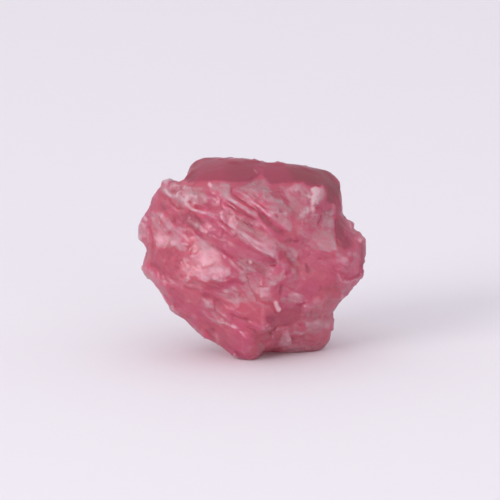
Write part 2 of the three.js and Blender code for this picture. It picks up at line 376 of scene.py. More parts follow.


# The marks of the best face. Each has its rise, frost and whitening (partly painted highlights and glints),
# and then its width or border and its place.
STROKES = (
    # Ledges over the gutter
    Stroke(1.7, 18, 37, 5.9, 4.1, at(-152, 125, -139, 120, -126, 115, -111, 116, -98, 111, -85, 103)),
    Stroke(2.5, 13, 35, 3.3, 3.3, at(-89, 103, -82, 93, -75, 82, -62, 73, -46, 66, -26, 53, -3, 40)),
    Stroke(-1.7, -40, 0, 2.8, 2.8, at(-77, 94, -67, 84, -54, 76, -41, 71)),
    Stroke(1.7, 9, 25, 4.6, 3.1, at(5, 27, 21, 20, 36, 12, 54, 4)),
    Stroke(0.5, 18, 13, 4.1, 4.1, at(-31, 88, -8, 73, 15, 58, 41, 48, 67, 44)),
    Stroke(-0.7, -31, 0, 2.8, 2.8, at(-26, 77, -5, 64, 18, 48, 36, 43)),
    Stroke(0.5, 9, 18, 4.1, 4.1, at(-18, 61, 3, 48, 23, 34, 46, 25)),
    Stroke(-0.5, -22, 0, 2.8, 2.8, at(-5, 43, 13, 34, 33, 22)),
    # Dark steps, their darkness partly painted shade under the ledges, and the crest, partly a painted
    # highlight
    Stroke(-2.1, -57, 0, 3.9, 3.9, at(-136, 174, -118, 170, -100, 165, -85, 157, -72, 148)),
    Stroke(-5.1, -84, 0, 5.7, 7.2, at(-72, 147, -57, 139, -39, 127, -23, 117, -8, 107, 10, 98, 26, 85)),
    Stroke(1.7, 26, 13, 2.8, 2.8, at(-49, 121, -31, 108, -10, 97, 10, 85, 31, 75)),
    Stroke(-2.5, -48, 0, 2.8, 2.8, at(-51, 115, -36, 102, -18, 91, 0, 81, 21, 72)),
    Stroke(-4.3, -79, 0, 4.1, 5.1, at(-51, 170, -36, 160, -18, 147, -3, 134, 15, 124, 31, 108, 46, 90)),
    Stroke(3, 44, 18, 5.1, 4.4, at(-67, 158, -46, 147, -26, 135, -5, 121, 13, 108)),
    Stroke(3.4, 22, 44, 3.9, 3.3, at(-36, 174, -18, 162, 0, 149, 13, 138, 28, 127, 41, 116, 57, 102, 75,
        88)),
    Stroke(-2.5, -48, 0, 3.1, 3.1, at(-5, 156, 10, 147, 26, 136, 41, 126)),
    Stroke(-1.3, -44, 0, 7.7, 8.7, at(21, 116, 39, 99, 57, 82, 77, 67, 98, 52)),
    # Foot of the brow
    Stroke(-2.5, -62, 0, 2.8, 3.3, at(-48, 189, -45, 178, -48, 167)),
    Stroke(2.1, 44, 3, 4.6, 4.6, at(-36, 178, -18, 179, 0, 185, 13, 197, 26, 211)),
    # Knobbly shoulder
    Stroke(1.7, 26, 31, 3.1, 3.1, at(-172, 181, -162, 180, -149, 175)),
    Stroke(-3, -48, 0, 4.1, 5.7, at(-226, 172, -218, 162, -208, 151, -198, 139, -185, 129)),
    Stroke(2.5, 26, 13, 4.1, 3.6, at(-211, 165, -198, 157, -180, 154)),
    Stroke(1.7, 26, 18, 4.4, 3.6, at(-182, 136, -172, 133, -162, 130)),
    Stroke(-0.9, -53, 0, 5.7, 5.1, at(-146, 134, -134, 130, -118, 130, -100, 136)),
    # Leaf, and its side of the gutter
    Stroke(-0.7, -35, 0, 6.4, 7.7, at(-231, 142, -216, 126, -203, 113, -188, 98, -170, 82)),
    Stroke(-2.1, -44, 0, 2.8, 2.8, at(-244, 118, -231, 102, -216, 81, -206, 64, -203, 52)),
    Stroke(2.1, 22, 22, 3.9, 3.1, at(-257, 113, -249, 98, -236, 82, -224, 70)),
    Stroke(-2.5, -53, 0, 4.1, 5.1, at(-267, 90, -260, 75, -252, 54, -247, 29)),
    Stroke(2.5, 26, 22, 4.6, 3.6, at(-203, 88, -188, 72, -175, 62, -159, 49)),
    Stroke(-2.5, -31, -9, 3.1, 3.1, at(-203, 29, -190, 22, -180, 18, -164, 16)),
    Stroke(1.7, 18, 26, 3.9, 3.3, at(-185, 77, -170, 72, -154, 75, -144, 70)),
    # Between the leaf and the hump
    Stroke(1.7, 9, 31, 3.1, 3.1, at(-149, 77, -144, 67, -139, 57)),
    Stroke(1.7, 44, 9, 6.7, 6.2, at(-141, 57, -123, 44, -103, 30, -87, 16)),
    Stroke(0.9, -9, 26, 5.7, 5.1, at(-121, 57, -103, 46, -82, 36)),
    # Hump, and the smile under it
    Stroke(-1.7, 18, -40, 3.1, 3.1, at(-126, -28, -108, -22, -93, -14, -80, -5)),
    Stroke(0.9, 0, 13, 3.3, 3.3, at(-161, -18, -158, -33, -159, -46)),
    Stroke(2.5, 9, 48, 3.6, 3.1, at(-54, -2, -44, -15, -31, -25, -18, -36, -8, -46)),
    Stroke(-2.1, -31, -26, 3.1, 3.1, at(-69, 20, -57, 9, -44, 2, -36, -7)),
    Stroke(1.3, 18, 26, 2.8, 2.8, at(-36, 2, -21, -5, -5, -5)),
    Stroke(-1.7, -53, -13, 5.7, 6.2, at(-116, -67, -98, -74, -80, -77, -62, -72, -46, -64, -28, -54)),
    Stroke(1.3, 9, 26, 3.6, 3.1, at(-95, -60, -75, -61, -57, -55, -39, -47)),
    Stroke(1.7, 13, 31, 3.1, 3.1, at(-159, -67, -144, -70, -131, -74, -116, -81)),
    Stroke(1.7, 18, 26, 3.3, 3.3, at(-98, -82, -80, -90, -59, -97)),
    # Middle
    Stroke(-1.7, -44, 0, 3.3, 3.3, at(-10, -41, 10, -45, 31, -43)),
    Stroke(1.7, 31, 9, 2.8, 2.8, at(-28, -10, -15, -22, -5, -28)),
    Stroke(-1.7, -35, 0, 2.8, 2.8, at(-26, -19, -13, -29)),
    # Low middle, foot and toe
    Stroke(2.1, 35, 13, 4.1, 3.6, at(-121, -136, -105, -151, -87, -162, -67, -166)),
    Stroke(2.5, 26, 35, 4.6, 4.6, at(-72, -162, -54, -169, -39, -176, -21, -185)),
    Stroke(2.5, 40, 13, 4.1, 3.6, at(-62, -126, -36, -135, -10, -144)),
    Stroke(-2.5, -40, 0, 3.6, 3.6, at(-54, -141, -26, -153, 5, -159)),
    Stroke(2.5, 44, 4, 4.1, 3.6, at(-10, -118, 10, -128, 23, -141)),
    Stroke(-2.1, -35, 0, 3.6, 3.6, at(-15, -172, 5, -182, 21, -193)),
    Stroke(2.1, 35, 9, 3.6, 3.6, at(-5, -158, 13, -169, 26, -180)),
    Stroke(2.1, 35, 13, 3.9, 3.3, at(108, -185, 126, -193, 144, -195)),
    Stroke(-2.1, -35, 0, 3.3, 3.3, at(129, -205, 146, -213, 167, -214)),
    Stroke(0, 0, 31, 4.1, 4.1, at(-87, -190, -85, -205, -81, -221)),
    # Left rim
    Stroke(1.7, 18, 26, 3.3, 3.1, at(-211, -54, -198, -63, -182, -69)),
    Stroke(1.3, 18, 13, 3.3, 3.1, at(-213, -45, -198, -50, -182, -46)),
    Stroke(1.3, 40, 13, 4.1, 4.1, at(-211, -115, -203, -128, -193, -141)),
    # Round the white spot
    Stroke(1.7, 44, 4, 3.9, 3.9, at(111, 165, 122, 181, 134, 192, 144, 178)),
    Stroke(2.5, 26, 150, 4.9, 4.1, at(161, 152, 159, 134, 159, 116)),
    Stroke(2.5, 132, 40, 6.2, 6.2, at(152, 127, 140, 116, 125, 102)),
    Stroke(-4.3, -114, 0, 4.9, 4.6, at(185, 116, 181, 100, 173, 84)),
    Stroke(2.5, 62, 13, 3.9, 3.9, at(212, 142, 213, 124, 211, 108)),
    Stroke(-2.5, -53, 0, 2.6, 5.1, at(218, 108, 220, 82, 220, 57, 226, 26)),
    # Cheek, slot and lobe
    Stroke(-2.5, -48, 0, 4.1, 4.1, at(98, 45, 113, 43, 131, 43)),
    Stroke(1.7, 22, 22, 3.1, 2.6, at(118, 70, 134, 59, 152, 50)),
    Stroke(-3, -66, 0, 5.1, 5.1, at(81, -59, 78, -79, 75, -100)),
    Stroke(-2.1, -53, 0, 3.3, 3.3, at(113, -118, 129, -119, 146, -114)),
    Stroke(-2.5, -57, 0, 4.6, 4.6, at(188, -150, 198, -153, 208, -151)),
    Stroke(1.7, 48, 0, 3.6, 3.6, at(87, -28, 80, -43, 77, -59)),
    Stroke(1.3, 31, 13, 3.9, 3.9, at(71, 8, 71, -18)),
    Stroke(-2.1, -53, 0, 3.1, 3.1, at(139, -14, 146, -25, 152, -38)),
    Stroke(-2.5, -26, 0, 5.7, 5.7, at(221, -31, 234, -38, 249, -49)),
    Stroke(-1.7, -44, 0, 2.8, 2.8, at(55, -115, 60, -126, 68, -139)),
)
SPOTS = (
    # Rim of the upper left, with painted glints
    Spot(2.2, 8, 136, at(-102, 187, 7, 4), -50), Spot(0.7, 8, 42, at(-101, 176, 3, 5)),
    Spot(0.7, 0, 30, at(-125, 176, 6, 5)), Spot(2.2, 8, 127, at(-268, 101, 8, 4), -60),
    Spot(1.1, 0, 68, at(-271, 82, 5, 4)), Spot(9.8, 25, 10, at(-212, 197, 22, 13), -4, 1.8),
    Spot(8.3, 8, 0, at(-287, 53, 15, 18), -15, 1.8),
    # Grains of the knobbly shoulder, and the chinks between them
    Spot(1.1, 25, 17, at(-189, 160, 6, 4), -20, 1.6), Spot(1.1, 29, 4, at(-176, 145, 5, 4), 0, 1.6),
    Spot(1.1, 16, 17, at(-159, 142, 5, 4), -30, 1.6), Spot(1.1, 29, 4, at(-150, 160, 4, 5), 0, 1.6),
    Spot(1.1, 16, 13, at(-134, 151, 6, 4), -35, 1.6), Spot(1.1, 8, 26, at(-121, 160, 5, 4), -35, 1.6),
    Spot(1.1, 25, 13, at(-163, 174, 4, 3), 0, 1.6), Spot(1.1, 16, 9, at(-141, 140, 5, 3), -20, 1.6),
    Spot(-0.9, -33, 0, at(-168, 156, 7, 2), -35), Spot(-0.9, -29, 0, at(-143, 149, 6, 2), -35),
    Spot(-0.9, -29, 0, at(-185, 169, 5, 2), -30), Spot(-0.9, -25, 0, at(-131, 162, 6, 2), -40),
    Spot(1.9, 33, 21, at(-216, 176, 5, 5), 0, 1.6), Spot(1.9, 29, 4, at(-180, 178, 6, 5), 0, 1.6),
    Spot(0.9, 20, 4, at(-164, 153, 11, 9), 0, 1.6), Spot(0.9, 16, 4, at(-141, 157, 10, 8), 0, 1.6),
    Spot(1.1, 8, 30, at(-114, 151, 9, 5), -45, 1.6), Spot(-0.7, -25, 0, at(-198, 174, 6, 3), -20),
    Spot(-1.5, -33, 0, at(-153, 142, 7, 4)), Spot(-1.5, -29, 0, at(-177, 166, 6, 3), -20),
    Spot(-1.1, -25, 0, at(-134, 167, 6, 3), -30),
    # Gutter and leaf, with painted highlights on the leaf's lobes
    Spot(0, 0, 21, at(-240, 158, 7, 6)), Spot(0.4, 12, 13, at(-175, 99, 5, 7)),
    Spot(1.1, 0, 38, at(-230, 48, 9, 8), -30, 1.6), Spot(1.1, 0, 34, at(-195, 39, 9, 7), 20, 1.6),
    Spot(0, 12, 9, at(-190, 89, 10, 7), -35, 1.6),
    # Ledges and crest
    Spot(0.7, 0, 47, at(-48, 97, 5, 9), 10), Spot(0.7, 33, 0, at(-26, 94, 8, 5), -35),
    Spot(1.5, 57, 9, at(12, 116, 9, 6), -45, 1.8), Spot(1.5, 0, 34, at(9, 139, 9, 4), -38),
    Spot(1.1, 37, 13, at(55, 115, 8, 6), -30, 1.6), Spot(0, 29, 3, at(54, 64, 13, 8), -35, 1.8),
    # Slope
    Spot(1.5, 49, 0, at(93, 113, 5, 7), 0, 1.6), Spot(1.1, 41, 0, at(102, 125, 4, 6), 0, 1.6),
    Spot(0.7, 41, 0, at(99, 79, 8, 10), 20, 1.8), Spot(-1.5, -37, 0, at(81, 121, 5, 5)),
    Spot(-1.1, -33, 0, at(69, 108, 6, 3), -40),
    # Under the brow
    Spot(-1.5, -41, 0, at(15, 161, 10, 3), -35), Spot(0.7, 0, 42, at(12, 223, 9, 2), -55),
    Spot(0.4, 37, 0, at(26, 208, 5, 9)), Spot(0.7, 25, 9, at(-126, 246, 10, 5), -8, 1.6),
    # Round the white spot
    Spot(1.5, 33, 26, at(150, 163, 5, 8), 0, 1.6), Spot(-1.5, -41, 0, at(159, 166, 2, 9), 15),
    Spot(1.1, 66, 0, at(185, 183, 4, 8), 0, 1.6), Spot(1.5, 49, 30, at(150, 126, 6, 8), -20, 1.8),
    Spot(0.7, 33, 13, at(117, 99, 8, 5), 30, 1.6),
    # Granular plate
    Spot(1.5, 29, 13, at(195, 108, 5, 5), 0, 1.6), Spot(1.5, 25, 13, at(204, 94, 5, 5), 0, 1.6),
    Spot(1.1, 25, 9, at(193, 85, 6, 4), -20, 1.6), Spot(-1.5, -41, 0, at(200, 102, 3, 3)),
    # Right rim, with a painted glint
    Spot(2.2, 41, 9, at(257, 88, 6, 10), 35, 1.8), Spot(-3.8, -16, 0, at(240, 116, 8, 8), 0, 1.6),
    Spot(-3.8, -25, 0, at(267, 76, 7, 7), 0, 1.6), Spot(3.8, -16, 0, at(285, 63, 9, 8), -40, 1.6),
    Spot(2.2, 8, 94, at(282, 46, 6, 6), -50), Spot(0.7, 8, 30, at(272, 50, 4, 6)),
    Spot(-1.5, -33, 0, at(247, 41, 13, 13), 30, 1.8),
    # Right lobe
    Spot(1.9, 25, 59, at(240, -5, 9, 9), 0, 1.8), Spot(1.5, 25, 34, at(252, 13, 5, 9), 20, 1.6),
    Spot(1.5, 25, 38, at(267, 11, 7, 5), -20, 1.6), Spot(1.1, 20, 13, at(225, -6, 6, 4), 0, 1.6),
    Spot(-1.9, -57, 0, at(278, -13, 8, 11), 0, 1.8), Spot(-1.5, -37, 0, at(256, -5, 4, 5)),
    Spot(-4.5, -16, 0, at(216, -145, 7, 7), 0, 1.6),
    # Middle
    Spot(1.5, 8, 102, at(1, -11, 5, 3), -55, 1.6), Spot(1.5, 33, 21, at(5, -28, 13, 6), -30, 1.8),
    Spot(-1.5, -61, 0, at(33, -61, 8, 10), 0, 2), Spot(-1.1, -53, 0, at(63, -31, 6, 13), 0, 1.8),
    Spot(1.5, 29, 38, at(60, -63, 8, 6), -10, 1.8), Spot(-1.9, -57, 0, at(96, -42, 4, 7), 0, 1.6),
    Spot(1.5, 29, 26, at(112, -33, 5, 9), 35, 1.6), Spot(-1.5, -41, 0, at(104, -34, 3, 6), 20),
    Spot(0.7, 12, 26, at(150, -19, 3, 5)), Spot(0.7, 29, 10, at(140, -50, 11, 9), 0, 1.8),
    # Cheek plate and red hollow
    Spot(1.5, 12, 42, at(40, -79, 10, 5), -5, 1.8), Spot(1.5, 8, 42, at(114, -91, 9, 4), -12, 1.6),
    Spot(1.1, 0, 85, at(142, -111, 4, 3), -40), Spot(1.1, 0, 68, at(163, -124, 3, 3)),
    Spot(1.1, 0, 68, at(98, -210, 4, 3), 30), Spot(-1.5, -41, 0, at(158, -141, 3, 9), -10),
    Spot(0.9, 20, 21, at(150, -144, 3, 7)), Spot(0.7, -16, 26, at(103, -124, 9, 4), 0, 1.6),
    Spot(-1.1, -37, 0, at(48, -151, 14, 8), 0, 1.8),
    # Foot
    Spot(1.5, 12, 38, at(145, -169, 5, 7), 0, 1.6), Spot(1.5, 8, 34, at(172, -166, 10, 4), -10, 1.6),
    Spot(1.5, 8, 30, at(197, -175, 5, 9), 0, 1.6), Spot(-1.5, -41, 0, at(127, -172, 6, 4), -30),
    # Hump, whitened partly as painted light, with a painted glint
    Spot(1.5, 0, 34, at(-126, -22, 8, 6), -15, 1.8), Spot(1.5, 0, 42, at(-66, -40, 7, 7), 0, 1.8),
    Spot(1.1, 0, 38, at(-89, -47, 5, 5)), Spot(1.1, 0, 51, at(-111, -58, 6, 4)),
    Spot(-1.1, -8, -34, at(-139, -51, 10, 4), -5),
    # Smile and chin
    Spot(1.5, 33, 30, at(-18, -54, 9, 9), 0, 1.8), Spot(1.5, 16, 34, at(-62, -85, 11, 6), -10, 1.8),
    Spot(0, 25, 0, at(-44, -110, 12, 8), 0, 1.8), Spot(-1.5, -33, 0, at(-42, -97, 9, 3), -45),
    # Low left and toe
    Spot(-0.9, -41, 0, at(-127, -112, 5, 8), 0, 1.6), Spot(1.1, 0, 34, at(-105, -113, 5, 6), 0, 1.6),
    Spot(0.7, 12, 26, at(-157, -110, 8, 5), 0, 1.6), Spot(1.1, 29, 30, at(-143, -148, 9, 6), -30, 1.6),
    Spot(0, 25, 0, at(-93, -142, 12, 4), -18, 1.6), Spot(1.5, 8, 59, at(-39, -175, 8, 5), -25, 1.6),
    Spot(0.7, 25, 26, at(-10, -190, 6, 3), -45), Spot(0, -8, 26, at(-186, -139, 7, 4), -15),
    # Left field
    Spot(0.9, 12, 26, at(-218, -5, 4, 6)), Spot(0.7, 16, 9, at(-195, 0, 8, 5)),
    Spot(0.4, 0, 10, at(-177, -23, 7, 13), -15, 1.6),
    # Floors of the cleft, the red hollow and the slot
    Spot(9.8, 0, 0, at(44, -180, 23, 46)), Spot(4.5, 0, 0, at(87, -144, 41, 18)),
    Spot(3.8, 0, 0, at(-195, 134, 15, 10), -40),
)
FACETS = (
    # Clear brow, darkened at its right with painted shade
    Facet(0, -92, 0, 17.3, at(-170, 198, -159, 268, 206, 268, 236, 190, 226, 154, 195, 185, 154, 185, 131,
        196, 87, 190, 51, 185, 31, 211, -10, 196, -46, 193, -93, 198, -134, 196)),
    Facet(0.8, -14, 0, 24.3, at(-136, 268, -69, 268, -69, 201, -116, 196, -134, 211)),
    Facet(0.4, 11, 3, 13.9, at(-82, 257, -67, 257, -67, 206, -80, 206)),
    Facet(0, -18, 0, 27.8, at(-64, 257, 31, 247, 31, 211, -10, 196, -46, 198, -62, 216)),
    Facet(0.8, 23, 9, 6.9, at(8, 242, 39, 239, 36, 214, 15, 211)),
    Facet(0, -55, 0, 27.8, at(98, 237, 206, 237, 229, 175, 195, 183, 149, 185, 108, 196)),
    Facet(0, -32, 0, 8.7, at(-172, 196, -162, 268, -139, 268, -136, 211, -149, 196)),
    # Clear corner, and the hollow of the cheek, both darkened partly with painted shade of the right rim
    Facet(0, -78, 0, 10.4, at(193, 190, 234, 185, 247, 113, 234, 46, 221, 57, 216, 134, 198, 149)),
    Facet(-1.6, -55, 0, 13.9, at(221, 98, 247, 108, 275, 62, 267, 26, 242, 16, 224, 31)),
    # Knobbly shoulder
    Facet(1.2, 41, 3, 10.4, at(-226, 183, -170, 185, -118, 178, -100, 149, -118, 134, -164, 134, -190, 142,
        -221, 160)),
    Facet(1.2, 18, 3, 8.7, at(-175, 170, -131, 170, -131, 139, -172, 139)),
    Facet(0.6, 5, 10, 10.4, at(-136, 172, -118, 165, -105, 147, -121, 142, -136, 149)),
    Facet(0, -23, 0, 6.9, at(-190, 190, -139, 198, -103, 196, -108, 180, -144, 183, -180, 185)),
    # Frost under the brow, and the planes below it
    Facet(1.2, 37, 4, 9, at(-98, 193, -85, 199, -67, 196, -49, 185, -49, 152, -67, 157, -85, 170, -95,
        175)),
    Facet(1.2, 41, 3, 7.6, at(-72, 193, -54, 188, -48, 154, -62, 157), (0.08, 0)),
    Facet(0.4, 0, 17, 12.1, at(-116, 147, -72, 142, -59, 118, -82, 103, -105, 118, -98, 134)),
    Facet(0.8, 9, 30, 6.9, at(-80, 121, -57, 124, -54, 93, -72, 93)),
    Facet(2.4, 41, 42, 6.9, at(-59, 108, -39, 111, -28, 90, -36, 72, -54, 77), (0.1, 0)),
    # Ledges
    Facet(1.6, 55, 10, 9.7, at(-36, 100, -10, 88, 21, 70, 46, 57, 77, 46, 82, 26, 57, 3, 31, 16, 0, 31, -26,
        52, -44, 67, -33, 82)),
    Facet(0.8, 9, 9, 8.7, at(-36, 93, -10, 82, 10, 67, 0, 46, -26, 59)),
    Facet(1.2, 9, 24, 6.2, at(31, 41, 57, 46, 69, 31, 57, 8, 36, 16), (0.1, 0)),
    # Gutter
    Facet(0, -23, 14, 10.4, at(-75, 75, -46, 62, -10, 41, 15, 23, 46, 5, 64, -13, 31, -13, -5, 0, -36, 5,
        -62, 26, -77, 52)),
    Facet(0, -32, 3, 13.9, at(-221, 147, -185, 124, -149, 118, -113, 108, -93, 100, -118, 88, -129, 67,
        -149, 77, -170, 82, -190, 103)),
    Facet(0, -28, 11, 20.8, at(-136, 100, -93, 103, -72, 75, -69, 39, -108, 49, -139, 70)),
    Facet(0, -32, 0, 17.3, at(-180, 113, -136, 116, -123, 88, -149, 72, -175, 85)),
    # Leaf
    Facet(0, -37, 7, 10.4, at(-260, 147, -236, 175, -224, 165, -208, 129, -231, 118, -260, 121)),
    Facet(1.6, 41, 10, 6.2, at(-257, 116, -236, 121, -206, 108, -198, 88, -206, 67, -231, 72, -252, 82),
        (0.1, 0)),
    Facet(-0.8, -28, 3, 5.2, at(-244, 75, -218, 75, -216, 64, -239, 64)),
    Facet(0.8, 32, 55, 19.1, at(-247, 52, -236, 70, -216, 70, -208, 52, -218, 34, -236, 31)),
    Facet(0.8, 32, 42, 17.3, at(-211, 54, -193, 62, -177, 49, -180, 26, -200, 26, -211, 41)),
    Facet(1.2, 37, 9, 9.7, at(-182, 36, -167, 36, -154, 23, -164, 13, -182, 21)),
    # Left field and rim
    Facet(0, -51, 0, 13.9, at(-260, 46, -242, 31, -206, 21, -164, 11, -170, -10, -180, -31, -200, -46, -231,
        -46, -257, -20, -262, 11)),
    Facet(0, 32, 3, 10.4, at(-293, 82, -275, 106, -265, 82, -265, 52, -257, 26, -275, 31, -293, 52)),
    Facet(0, 14, 0, 10.4, at(-278, -13, -262, -25, -242, -51, -221, -82, -211, -108, -226, -105, -252, -72,
        -275, -46)),
    Facet(0, 14, 3, 10.4, at(-265, -31, -249, -38, -236, -64, -249, -67, -265, -49)),
    Facet(-2.4, -51, 4, 6.9, at(-162, 29, -146, 34, -126, 26, -134, 11, -154, 13)),
    Facet(0, -9, 26, 8.7, at(-177, 57, -154, 62, -139, 46, -154, 36, -172, 41)),
    # Hump, whitened partly as painted light
    Facet(1.6, 23, 32, 15.6, at(-139, 46, -113, 39, -98, 26, -75, 16, -67, -10, -51, -25, -54, -46, -72,
        -56, -103, -59, -129, -56, -154, -51, -175, -33, -170, -10, -154, 5)),
    Facet(0, 0, 42, 17.3, at(-126, 21, -95, 23, -72, 3, -85, -15, -116, -18, -131, 0)),
    Facet(0.8, 41, -17, 10.4, at(-136, 41, -111, 36, -95, 21, -113, 13, -134, 21)),
    Facet(0.4, 0, 32, 10.4, at(-139, -28, -108, -25, -103, -54, -129, -56, -139, -46)),
    Facet(0.8, 0, 17, 8.3, at(-95, -25, -75, -20, -67, -36, -77, -54, -95, -51)),
    Facet(0.4, 0, 0, 10.4, at(-164, -10, -139, 0, -136, -25, -154, -46, -170, -31)),
    Facet(0.8, 23, 9, 9, at(-69, 8, -51, 5, -31, -25, -15, -46, -36, -51, -54, -41)),
    Facet(0, 5, 5, 10.4, at(-211, -46, -164, -46, -118, -64, -98, -82, -129, -87, -170, -82, -200, -72)),
    # Middle and chin
    Facet(0, 35, 9, 10.4, at(-31, -7, 5, -2, 57, -13, 72, -36, 72, -67, 31, -82, -10, -72, -26, -46)),
    Facet(0.8, 30, 5, 10.4, at(-95, -82, -67, -82, -31, -67, 0, -72, 31, -87, 31, -108, -26, -115, -62,
        -110, -93, -92)),
    Facet(-0.8, -41, 3, 6.9, at(-129, -87, -98, -87, -72, -103, -57, -118, -82, -126, -98, -105, -123,
        -105)),
    # Low left
    Facet(1.2, 32, 26, 6.2, at(-118, -105, -95, -105, -90, -126, -113, -128)),
    Facet(0, -46, 0, 8.7, at(-211, -72, -185, -74, -167, -97, -170, -128, -190, -133, -206, -108)),
    Facet(0, -14, 9, 10.4, at(-170, -87, -129, -90, -113, -123, -134, -139, -170, -128)),
    Facet(0, -41, 0, 10.4, at(-175, -144, -129, -139, -87, -175, -98, -195, -134, -185)),
    # Toe and low middle
    Facet(0, -51, 17, 10.4, at(-118, -185, -93, -180, -62, -190, -28, -195, -26, -246, -62, -241, -98,
        -216)),
    Facet(0, -9, 0, 10.4, at(-26, -185, 15, -195, 26, -236, 5, -262, -21, -257)),
    Facet(0, -35, 0, 17.3, at(-57, -123, 21, -113, 31, -172, 21, -210, -26, -195, -57, -164)),
    # Knob, white rod and plate of the middle
    Facet(1.6, 32, 10, 6.2, at(23, -74, 51, -74, 57, -108, 26, -108), (0, 0.1)),
    Facet(4, 55, 127, 3.1, at(60, -110, 67, -107, 72, -113, 77, -130, 73, -135, 67, -132, 62, -118)),
    Facet(1.2, 28, 10, 6.2, at(98, -92, 123, -87, 139, -97, 134, -115, 103, -113)),
    # Coral cheek and its chips
    Facet(0, -39, 0, 17.3, at(123, 21, 170, 16, 216, 11, 226, -36, 211, -87, 159, -108, 123, -82, 129,
        -20)),
    Facet(1.6, 55, 19, 5.2, at(90, 26, 105, 29, 121, 16, 121, -10, 105, -5, 93, 5), (0.1, 0)),
    Facet(1.2, 46, 13, 5.2, at(77, 39, 90, 39, 93, 21, 82, 16)),
    # Rose field, and the plates under the brow
    Facet(0.8, 32, 27, 8.7, at(87, 175, 118, 190, 154, 180, 154, 149, 144, 126, 118, 113, 98, 134)),
    Facet(0, 18, 3, 8.7, at(46, 190, 87, 193, 113, 180, 98, 170, 57, 178)),
    Facet(-2.4, -51, 0, 6.9, at(54, 175, 80, 178, 85, 152, 67, 149, 54, 160)),
    Facet(1.2, 46, 3, 7.6, at(-15, 175, 0, 185, 21, 203, 33, 203, 46, 185, 51, 165, 31, 165, 0, 170)),
    Facet(1.2, 28, 9, 6.2, at(-8, 172, 15, 175, 36, 160, 41, 134, 21, 144, 0, 157), (0.08, 0)),
    Facet(2.4, 87, 5, 5.6, at(31, 175, 44, 170, 62, 154, 82, 147, 87, 134, 62, 139, 36, 147), (0, 0.1)),
    Facet(1, 46, 5, 7.6, at(41, 134, 87, 136, 108, 124, 103, 67, 82, 82, 57, 106)),
    Facet(-0.8, -32, 0, 8.7, at(31, 116, 57, 95, 87, 70, 108, 52, 103, 31, 72, 46, 41, 80, 21, 106)),
    Facet(0, -18, 3, 8.7, at(77, 46, 123, 52, 129, 21, 93, 21)),
    # White spot
    Facet(2.8, 37, 161, 4.5, at(157, 178, 170, 183, 179, 178, 181, 165, 172, 154, 168, 144, 157, 145, 155,
        153, 162, 162)),
    Facet(1.6, 120, 30, 4.9, at(179, 178, 189, 175, 193, 163, 189, 151, 176, 144, 170, 145, 173, 154, 181,
        165)),
    Facet(-1.2, -46, 0, 6.9, at(198, 190, 216, 175, 218, 139, 195, 118, 167, 118, 167, 136, 185, 139, 199,
        154)),
    # Plates of the right
    Facet(0.8, 37, 12, 6.9, at(144, 111, 175, 113, 172, 80, 141, 75)),
    Facet(1.6, 51, 12, 6.2, at(188, 116, 211, 121, 216, 77, 185, 75, 177, 88)),
    Facet(1.2, 46, 3, 8.3, at(162, 70, 185, 72, 208, 75, 216, 57, 224, 23, 206, 16, 182, 16, 172, 44),
        (0.06, 0)),
    Facet(0, 18, 5, 8.7, at(118, 77, 159, 72, 172, 44, 144, 46, 121, 59)),
    # Right lobe
    Facet(0.8, 23, 2, 8.7, at(221, 11, 247, 23, 272, 18, 285, -5, 278, -36, 252, -51, 231, -36, 216, -15)),
    Facet(0, -74, 0, 10.4, at(285, 46, 303, 36, 306, -20, 288, -51, 283, -10)),
    Facet(-1.6, -18, 0, 12.1, at(247, -25, 285, -20, 278, -51, 257, -61, 242, -51)),
    Facet(0, 5, 4, 13.9, at(206, -82, 262, -67, 247, -103, 224, -133, 195, -123)),
    # Red hollow and foot
    Facet(0, -55, 7, 10.4, at(36, -128, 72, -133, 103, -118, 134, -121, 134, -154, 103, -175, 67, -175, 36,
        -164)),
    Facet(0, 18, 3, 8.7, at(134, -113, 170, -108, 185, -128, 180, -154, 144, -159)),
    Facet(1.6, 37, 21, 10.4, at(139, -164, 180, -157, 206, -164, 203, -187, 170, -193, 144, -187)),
    Facet(2.4, 51, 26, 5.2, at(85, -187, 96, -182, 108, -216, 103, -226, 75, -223, 80, -200), (0.1, 0)),
    Facet(0, 32, 21, 10.4, at(77, -218, 118, -221, 159, -228, 154, -246, 87, -244)),
    Facet(0.8, -28, 17, 10.4, at(159, -195, 195, -193, 198, -218, 170, -231, 157, -213)),
    Facet(0, 9, 19, 10.4, at(108, -187, 154, -190, 159, -226, 118, -221)),
    Facet(-0.8, -37, 0, 6.2, at(57, -195, 72, -193, 72, -241, 57, -241)),
    Facet(0, -11, 3, 10.4, at(31, -164, 57, -164, 57, -241, 31, -241)),
)
SMOOTH_BREAKS = (
    # Gutter
    Facet(0, 0, 0, 5.7, at(-229, 152, -206, 142, -185, 127, -149, 120, -113, 111, -90, 100, -72, 80, -46,
        63, -10, 40, 21, 20, 57, 2, 69, -15, 31, -18, -5, -5, -36, 2, -62, 21, -93, 39, -118, 49, -139, 67,
        -164, 80, -188, 95, -211, 118)),
    # Low middle
    Facet(0, 0, 0, 9, at(-93, -108, -51, -105, -10, -113, 31, -126, 36, -180, 10, -195, -31, -185, -67,
        -154, -93, -133)),
    # Low rim
    Facet(0, 0, 0, 7.7, at(-265, -10, -242, -15, -216, -43, -190, -82, -211, -92, -242, -61, -265, -36)),
)


